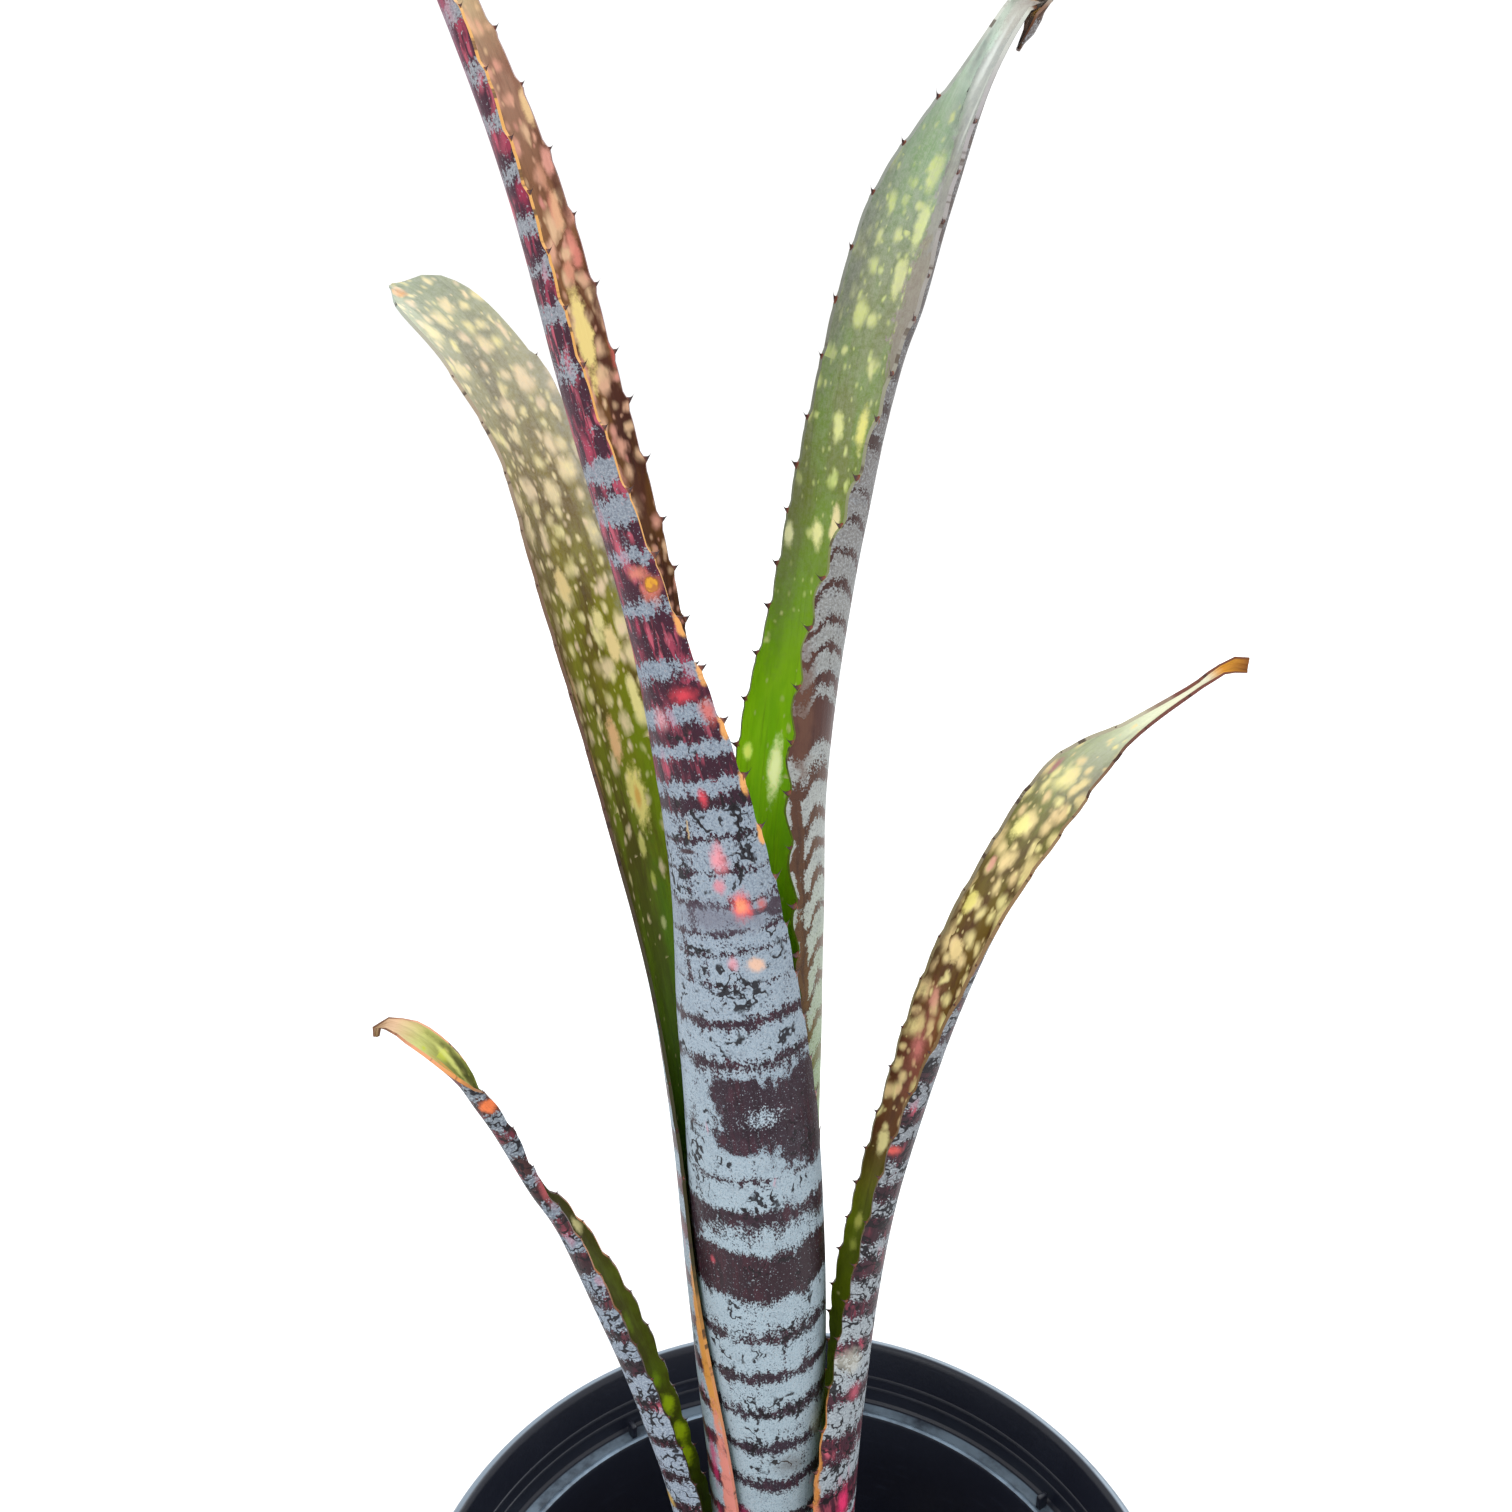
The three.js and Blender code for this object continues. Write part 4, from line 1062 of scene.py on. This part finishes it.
broad_face = face_finish(
    "back_left_leaf_face", 8, BROAD_LENGTH,
    [
        (0, 46, 98, 6), (150, 66, 112, 4), (190, 92, 106, 0), (215, 92, 80, 14), (250, 96, 76, 28),
        (275, 124, 104, 68), (295, 142, 136, 112), (315, 146, 158, 134),
    ],
    [
        (0, 54, 108, 6), (150, 74, 124, 4), (190, 108, 134, 0), (215, 116, 128, 8), (250, 130, 126, 20),
        (275, 146, 132, 80), (295, 166, 162, 130), (315, 172, 184, 152),
    ],
    [(0, 0), (180, 0), (200, 0.2), (228, 0.85), (270, 1.1), (315, 0.9)],
    [(0, 0), (195, 0.1), (220, 0.5), (315, 0.7)],
    [(244, 232, 166), (240, 214, 180)],
    haze=[(0, 0), (245, 0), (268, 0.15), (285, 0.3), (315, 0.34)],
    marks=[
        (-13.6, 215, 4.6, 50, (84, 60, 30), 0.8), (-10.4, 255, 2.8, 30, (96, 68, 40), 0.65),
        (-11.4, 240, 0.9, 7, (206, 168, 130), 0.7, 0.8), (-12.6, 226, 0.7, 5, (196, 150, 110), 0.7, 0.8),
        (2, 218, 3.4, 26, (112, 144, 0), 0.5), (-1.2, 192, 3, 26, (88, 136, 0), 0.6),
        (-3, 262, 3.4, 8, (150, 140, 30), 0.5), (-3.4, 239, 2.6, 9, (138, 134, 16), 0.55),
        # The pale grey patch at 9.4 across, 264 along is more painted glare, near the margin
        (9.4, 264, 6.4, 38, (158, 156, 150), 0.88), (-1.6, 312.6, 1.8, 1.8, (222, 160, 104), 0.8, 0.7),
        (-1.6, 218, 2.5, 7.4, (250, 234, 140), 0.95, 0.6), (-1.5, 218, 0.9, 3, (232, 172, 80), 0.8, 0.8),
        (-3.3, 209.8, 1.2, 3, (232, 226, 130), 0.9, 0.7), (-2.4, 203.2, 0.9, 2, (200, 206, 96), 0.9, 0.7),
        (-2.3, 195.2, 0.9, 1.6, (216, 222, 150), 0.85, 0.7), (-3.5, 228.4, 1.9, 5.4, (244, 196, 142), 1, 0.6),
        (3, 234.4, 1.3, 5.6, (244, 232, 156), 0.95, 0.6), (1.7, 244.1, 1.7, 4.4, (246, 222, 158), 0.95, 0.6),
        (0.5, 249, 1.3, 2.4, (242, 228, 160), 0.95, 0.6), (-4.6, 256.2, 2.2, 3.6, (242, 216, 150), 0.95, 0.6),
    ],
)
broad_edge = edge_finish(
    "back_left_leaf_edge", 9, BROAD_LENGTH,
    [
        (0, 206, 116, 120), (95, 210, 134, 110), (122, 206, 146, 76), (134, 60, 54, 26), (190, 56, 54, 32),
        (225, 88, 62, 50), (262, 116, 92, 72), (295, 172, 158, 136), (315, 160, 172, 160),
    ],
    dark=(50, 36, 28),
)
dressed_leaf(
    "back_left_leaf", "leaf_back_left", LEAF_BACK_LEFT, spine_places(150, 296, 9, 13),
    [broad_back, broad_face, broad_edge], columns=24, seed=23, sizes=(0.5, 0.35),
)

# Right leaf
# A low leaf that arches to the right. Its inner face is dark olive under crowded cream windows, its back is silver,
# maroon and rose, and its point is dry and curled.
LOW_LENGTH = 264.6
low_bands = [(6 + 9 * k, 2) for k in range(9)] + [(86, 4.6), (100.5, 2.6), (110.6, 1.8), (120.4, 1.2), (128.5, 2.2)]
low_bands += [(137.5, 2.5), (146.6, 2.8), (153.3, 1.8), (161.6, 2), (169, 2), (176.8, 1.4)]
low_bands += [(184 + 6.5 * k, 1.5) for k in range(12)]
low_back = back_finish(
    "right_leaf_back", 10, LOW_LENGTH, low_bands,
    [(0, 66, 38, 50), (90, 68, 32, 46), (150, 56, 34, 42), (230, 52, 38, 40), (262, 120, 70, 44)],
    [(0, 150, 162, 174), (120, 148, 156, 162), (170, 124, 128, 134), (262, 120, 122, 126)],
    [(0, 0.4), (80, 0.55), (110, 0.32), (150, 0.34), (230, 0.3), (262, 0.2)],
    [(0, 0.1), (100, 0.22), (160, 0.22), (262, 0.05)],
    rubbed=3,
    marks=[
        (7.6, 85, 2.2, 6, (232, 56, 112), 0.9), (6.8, 111, 2.4, 2.6, (206, 96, 116), 0.6),
        (7.2, 161.8, 1.9, 1.5, (218, 92, 84), 0.8), (8, 118, 3.4, 3.8, (190, 188, 176), 0.6, 0.8),
        (13.9, 98, 1.3, 15, (190, 124, 62), 1, 0.4), (13.6, 80, 1.6, 10, (206, 120, 110), 0.9, 0.6),
    ],
)
low_face = face_finish(
    "right_leaf_face", 11, LOW_LENGTH,
    [
        (0, 76, 88, 4), (140, 92, 104, 4), (160, 80, 46, 28), (205, 82, 54, 32), (225, 108, 98, 66),
        (238, 166, 172, 144), (247, 210, 216, 186), (257.5, 216, 214, 186), (260, 206, 140, 40), (264.6, 110, 60, 24),
    ],
    [
        (0, 90, 108, 4), (140, 112, 128, 4), (160, 104, 66, 38), (205, 104, 84, 34), (225, 124, 126, 74),
        (238, 182, 192, 150), (247, 224, 228, 196), (257.5, 226, 224, 200), (260, 224, 160, 50), (264.6, 130, 74, 30),
    ],
    [(0, 0), (150, 0), (160, 0.8), (170, 1.4), (200, 1.6), (228, 1.6), (240, 0.8), (248, 0)],
    [(0, 0), (155, 0.1), (165, 0.6), (225, 0.5), (250, 0.1)],
    [(238, 230, 158), (232, 204, 152)],
    haze=[(0, 0), (220, 0), (240, 0.3), (252, 0)],
    marks=[
        (-5.5, 157.7, 1.3, 3.8, (238, 228, 160), 0.95, 0.7), (-6.6, 139.7, 1, 2.8, (204, 206, 100), 0.9, 0.8),
        (-7.1, 134.2, 1, 2.2, (180, 190, 80), 0.9, 0.8), (-3, 178, 4.4, 17, (176, 100, 84), 0.4),
        (-3.7, 177.8, 1.8, 3.8, (212, 126, 120), 0.85), (-3, 187.4, 1.1, 3, (224, 160, 140), 0.75, 0.8),
        (-2.9, 212.8, 0.8, 2.2, (222, 160, 146), 0.8, 0.7), (-3.4, 231.2, 0.8, 2.2, (176, 112, 120), 0.8, 0.8),
        # The dark brown strip along the margin at -5.4 across is a painted shadow
        (-5.4, 206, 1.3, 30, (82, 66, 52), 0.7, 0.8), (5, 236, 2.6, 9, (128, 112, 118), 0.5),
        (-1.9, 220.4, 1.5, 2.8, (240, 232, 150), 0.9, 0.6), (-3.1, 205.8, 1.3, 2.8, (232, 222, 130), 0.9, 0.6),
        (-1.9, 196.8, 1.6, 2.8, (236, 212, 150), 0.9, 0.6),
    ],
)
low_edge = edge_finish(
    "right_leaf_edge", 12, LOW_LENGTH,
    [
        (0, 74, 70, 26), (150, 84, 76, 30), (180, 116, 102, 64), (225, 130, 122, 100), (246, 176, 170, 146),
        (256, 110, 62, 54), (264.6, 110, 64, 34),
    ],
    other=[
        (0, 204, 136, 76), (108, 200, 134, 70), (118, 74, 70, 26), (165, 112, 84, 50), (225, 136, 110, 78),
        (240, 100, 66, 54), (256, 110, 62, 54), (264.6, 110, 64, 34),
    ],
)
dressed_leaf(
    "right_leaf", "leaf_right", LEAF_RIGHT, spine_places(88, 242, 8.4, 14), [low_back, low_face, low_edge],
    columns=20, seed=24, sizes=(0.7, 0.35), dry=12,
)

# Left leaf
# The smallest leaf, which leans out to the left over the rim. A row of bright yellow green windows runs up its
# olive inner face, and its point curls down.
SMALL_LENGTH = 203.6
small_bands = [(6 + 8.6 * k, 1.7) for k in range(9)] + [(84, 1.5), (92, 1.1), (100.9, 1.2), (110.8, 1.2)]
small_bands += [(119.5, 1.9), (127.3, 1.5), (134.5, 1.8), (144, 3.2), (152, 1.4), (159.5, 2.6), (166, 1.5)]
small_bands += [(172.5, 1.7), (179, 1.7), (186, 1.6), (193, 1.4), (199, 1.4)]
small_back = back_finish(
    "left_leaf_back", 13, SMALL_LENGTH, small_bands,
    [(0, 62, 38, 44), (120, 44, 34, 40), (160, 58, 34, 36), (203.6, 90, 60, 50)],
    [(0, 146, 160, 176), (100, 138, 150, 166), (160, 112, 122, 134), (203.6, 116, 122, 128)],
    [(0, 0.3), (80, 0.15), (130, 0.2), (150, 0.35), (172, 0.4), (203, 0.3)],
    [(0, 0.08), (110, 0.2), (150, 0.24), (203, 0.2)],
    rubbed=2.6,
    marks=[
        (-2.2, 84, 2.2, 2.6, (206, 168, 80), 0.8, 0.8), (-2.2, 178.6, 1.6, 1.9, (232, 122, 70), 0.9, 0.7),
        (-2.6, 160, 0.9, 5, (196, 92, 96), 0.6),
    ],
)
small_face = face_finish(
    "left_leaf_face", 14, SMALL_LENGTH,
    [
        (0, 60, 76, 4), (110, 80, 84, 10), (150, 74, 70, 22), (172, 62, 64, 24), (184, 96, 104, 34),
        (194, 176, 178, 100), (199, 216, 176, 140), (203.6, 96, 66, 40),
    ],
    [
        (0, 84, 110, 6), (110, 98, 116, 10), (150, 90, 94, 30), (172, 84, 88, 30), (184, 150, 156, 66),
        (194, 206, 208, 130), (199, 224, 190, 156), (203.6, 150, 120, 70),
    ],
    [(0, 0), (150, 0), (170, 0.5), (190, 0.6), (197, 0)],
    [(0, 0), (145, 0), (175, 0.6), (198, 0.1)],
    [(196, 206, 70), (220, 208, 130)],
    marks=[
        (7.4, 85, 1.6, 4, (206, 236, 24), 1, 0.7), (7.2, 91.5, 1.6, 3.4, (206, 236, 24), 1, 0.7),
        (6.5, 99.5, 1.5, 3.8, (194, 226, 20), 1, 0.7), (5.9, 106.5, 1.2, 3, (140, 176, 14), 0.9),
        (4.8, 122, 0.9, 4, (120, 146, 20), 0.7), (3.6, 147.3, 0.8, 3, (232, 222, 160), 0.95, 0.7),
        (0.6, 188, 0.8, 5, (222, 226, 130), 0.85, 0.8), (-1.7, 184, 0.6, 9, (236, 150, 80), 0.85, 0.8),
        (2.2, 178, 0.5, 6, (44, 42, 24), 0.7, 0.8), (1.6, 186, 0.9, 9, (70, 74, 30), 0.8, 0.8),
    ],
)
small_edge = edge_finish(
    "left_leaf_edge", 15, SMALL_LENGTH,
    [
        (0, 60, 52, 26), (110, 60, 48, 28), (128, 90, 64, 40), (146, 176, 110, 62), (154, 70, 50, 44),
        (176, 84, 60, 40), (182, 222, 150, 84), (196, 214, 150, 112), (203, 110, 74, 50),
    ],
)
dressed_leaf(
    "left_leaf", "leaf_left", LEAF_LEFT, spine_places(60, 186, 8.4, 15), [small_back, small_face, small_edge],
    columns=18, seed=25, sizes=(0.55, 0.35), dry=9,
)
bpy.data.objects.remove(spine)

# Floor, light and camera
# A plain white studio: a wide pale floor, even light from all round, a large soft light from the upper left, and
# one behind that picks out the rim of the pot.
bpy.ops.mesh.primitive_plane_add(size=12)
floor = bpy.context.object
floor.name = "studio_floor"
ground, tree, skin = new_finish("studio_white", Roughness=0.9, Specular_IOR_Level=0.1)
tint = blended(speckle(add(tree, "TexCoord")["Object"], 3), (249, 249, 249), (252, 252, 252))
tint.feed(skin.inputs["Base Color"])
floor.data.materials.append(ground)

world = bpy.data.worlds.new("studio")
bpy.context.scene.world = world
world.use_nodes = True
sky = world.node_tree.nodes["Background"].inputs
sky["Color"].default_value = (1, 1, 1, 1)
sky["Strength"].default_value = 1.12


def stand(name, thing, place):
    """Puts a light or the camera in its place"""
    holder = bpy.data.objects.new(name, thing)
    holder.location = place
    bpy.context.scene.collection.objects.link(holder)
    return holder


def softbox(name, size, power, place, aim, tint=(1, 1, 1)):
    lamp = bpy.data.lights.new(name, "AREA")
    lamp.shape = "SQUARE"
    lamp.size = size
    lamp.energy = power
    lamp.color = tint
    stand(name, lamp, place).rotation_euler = (Vector(aim) - Vector(place)).to_track_quat("-Z", "Y").to_euler()


softbox("key_light", 1.0, 9, (-0.9, -1.2, 1.4), (0, 0, 0.2))
softbox("rim_light", 0.9, 14, (0.5, 1.1, 1.2), (0, 0, 0.15), (0.9, 0.96, 1.0))

SENSOR, FRAME_PIXELS, FOCAL_PIXELS, LOOKS_DOWN = 36.0, 1512, 1456, 22
lens = bpy.data.cameras.new("camera")
lens.sensor_width = SENSOR
lens.lens = SENSOR * FOCAL_PIXELS / FRAME_PIXELS
lens.clip_start = 0.01
camera = stand("camera", lens, (-0.0077, -0.208, 0.401))
camera.rotation_euler = (math.radians(90 - LOOKS_DOWN), 0, 0)
bpy.context.scene.camera = camera
bpy.context.scene.view_settings.view_transform = "Standard"
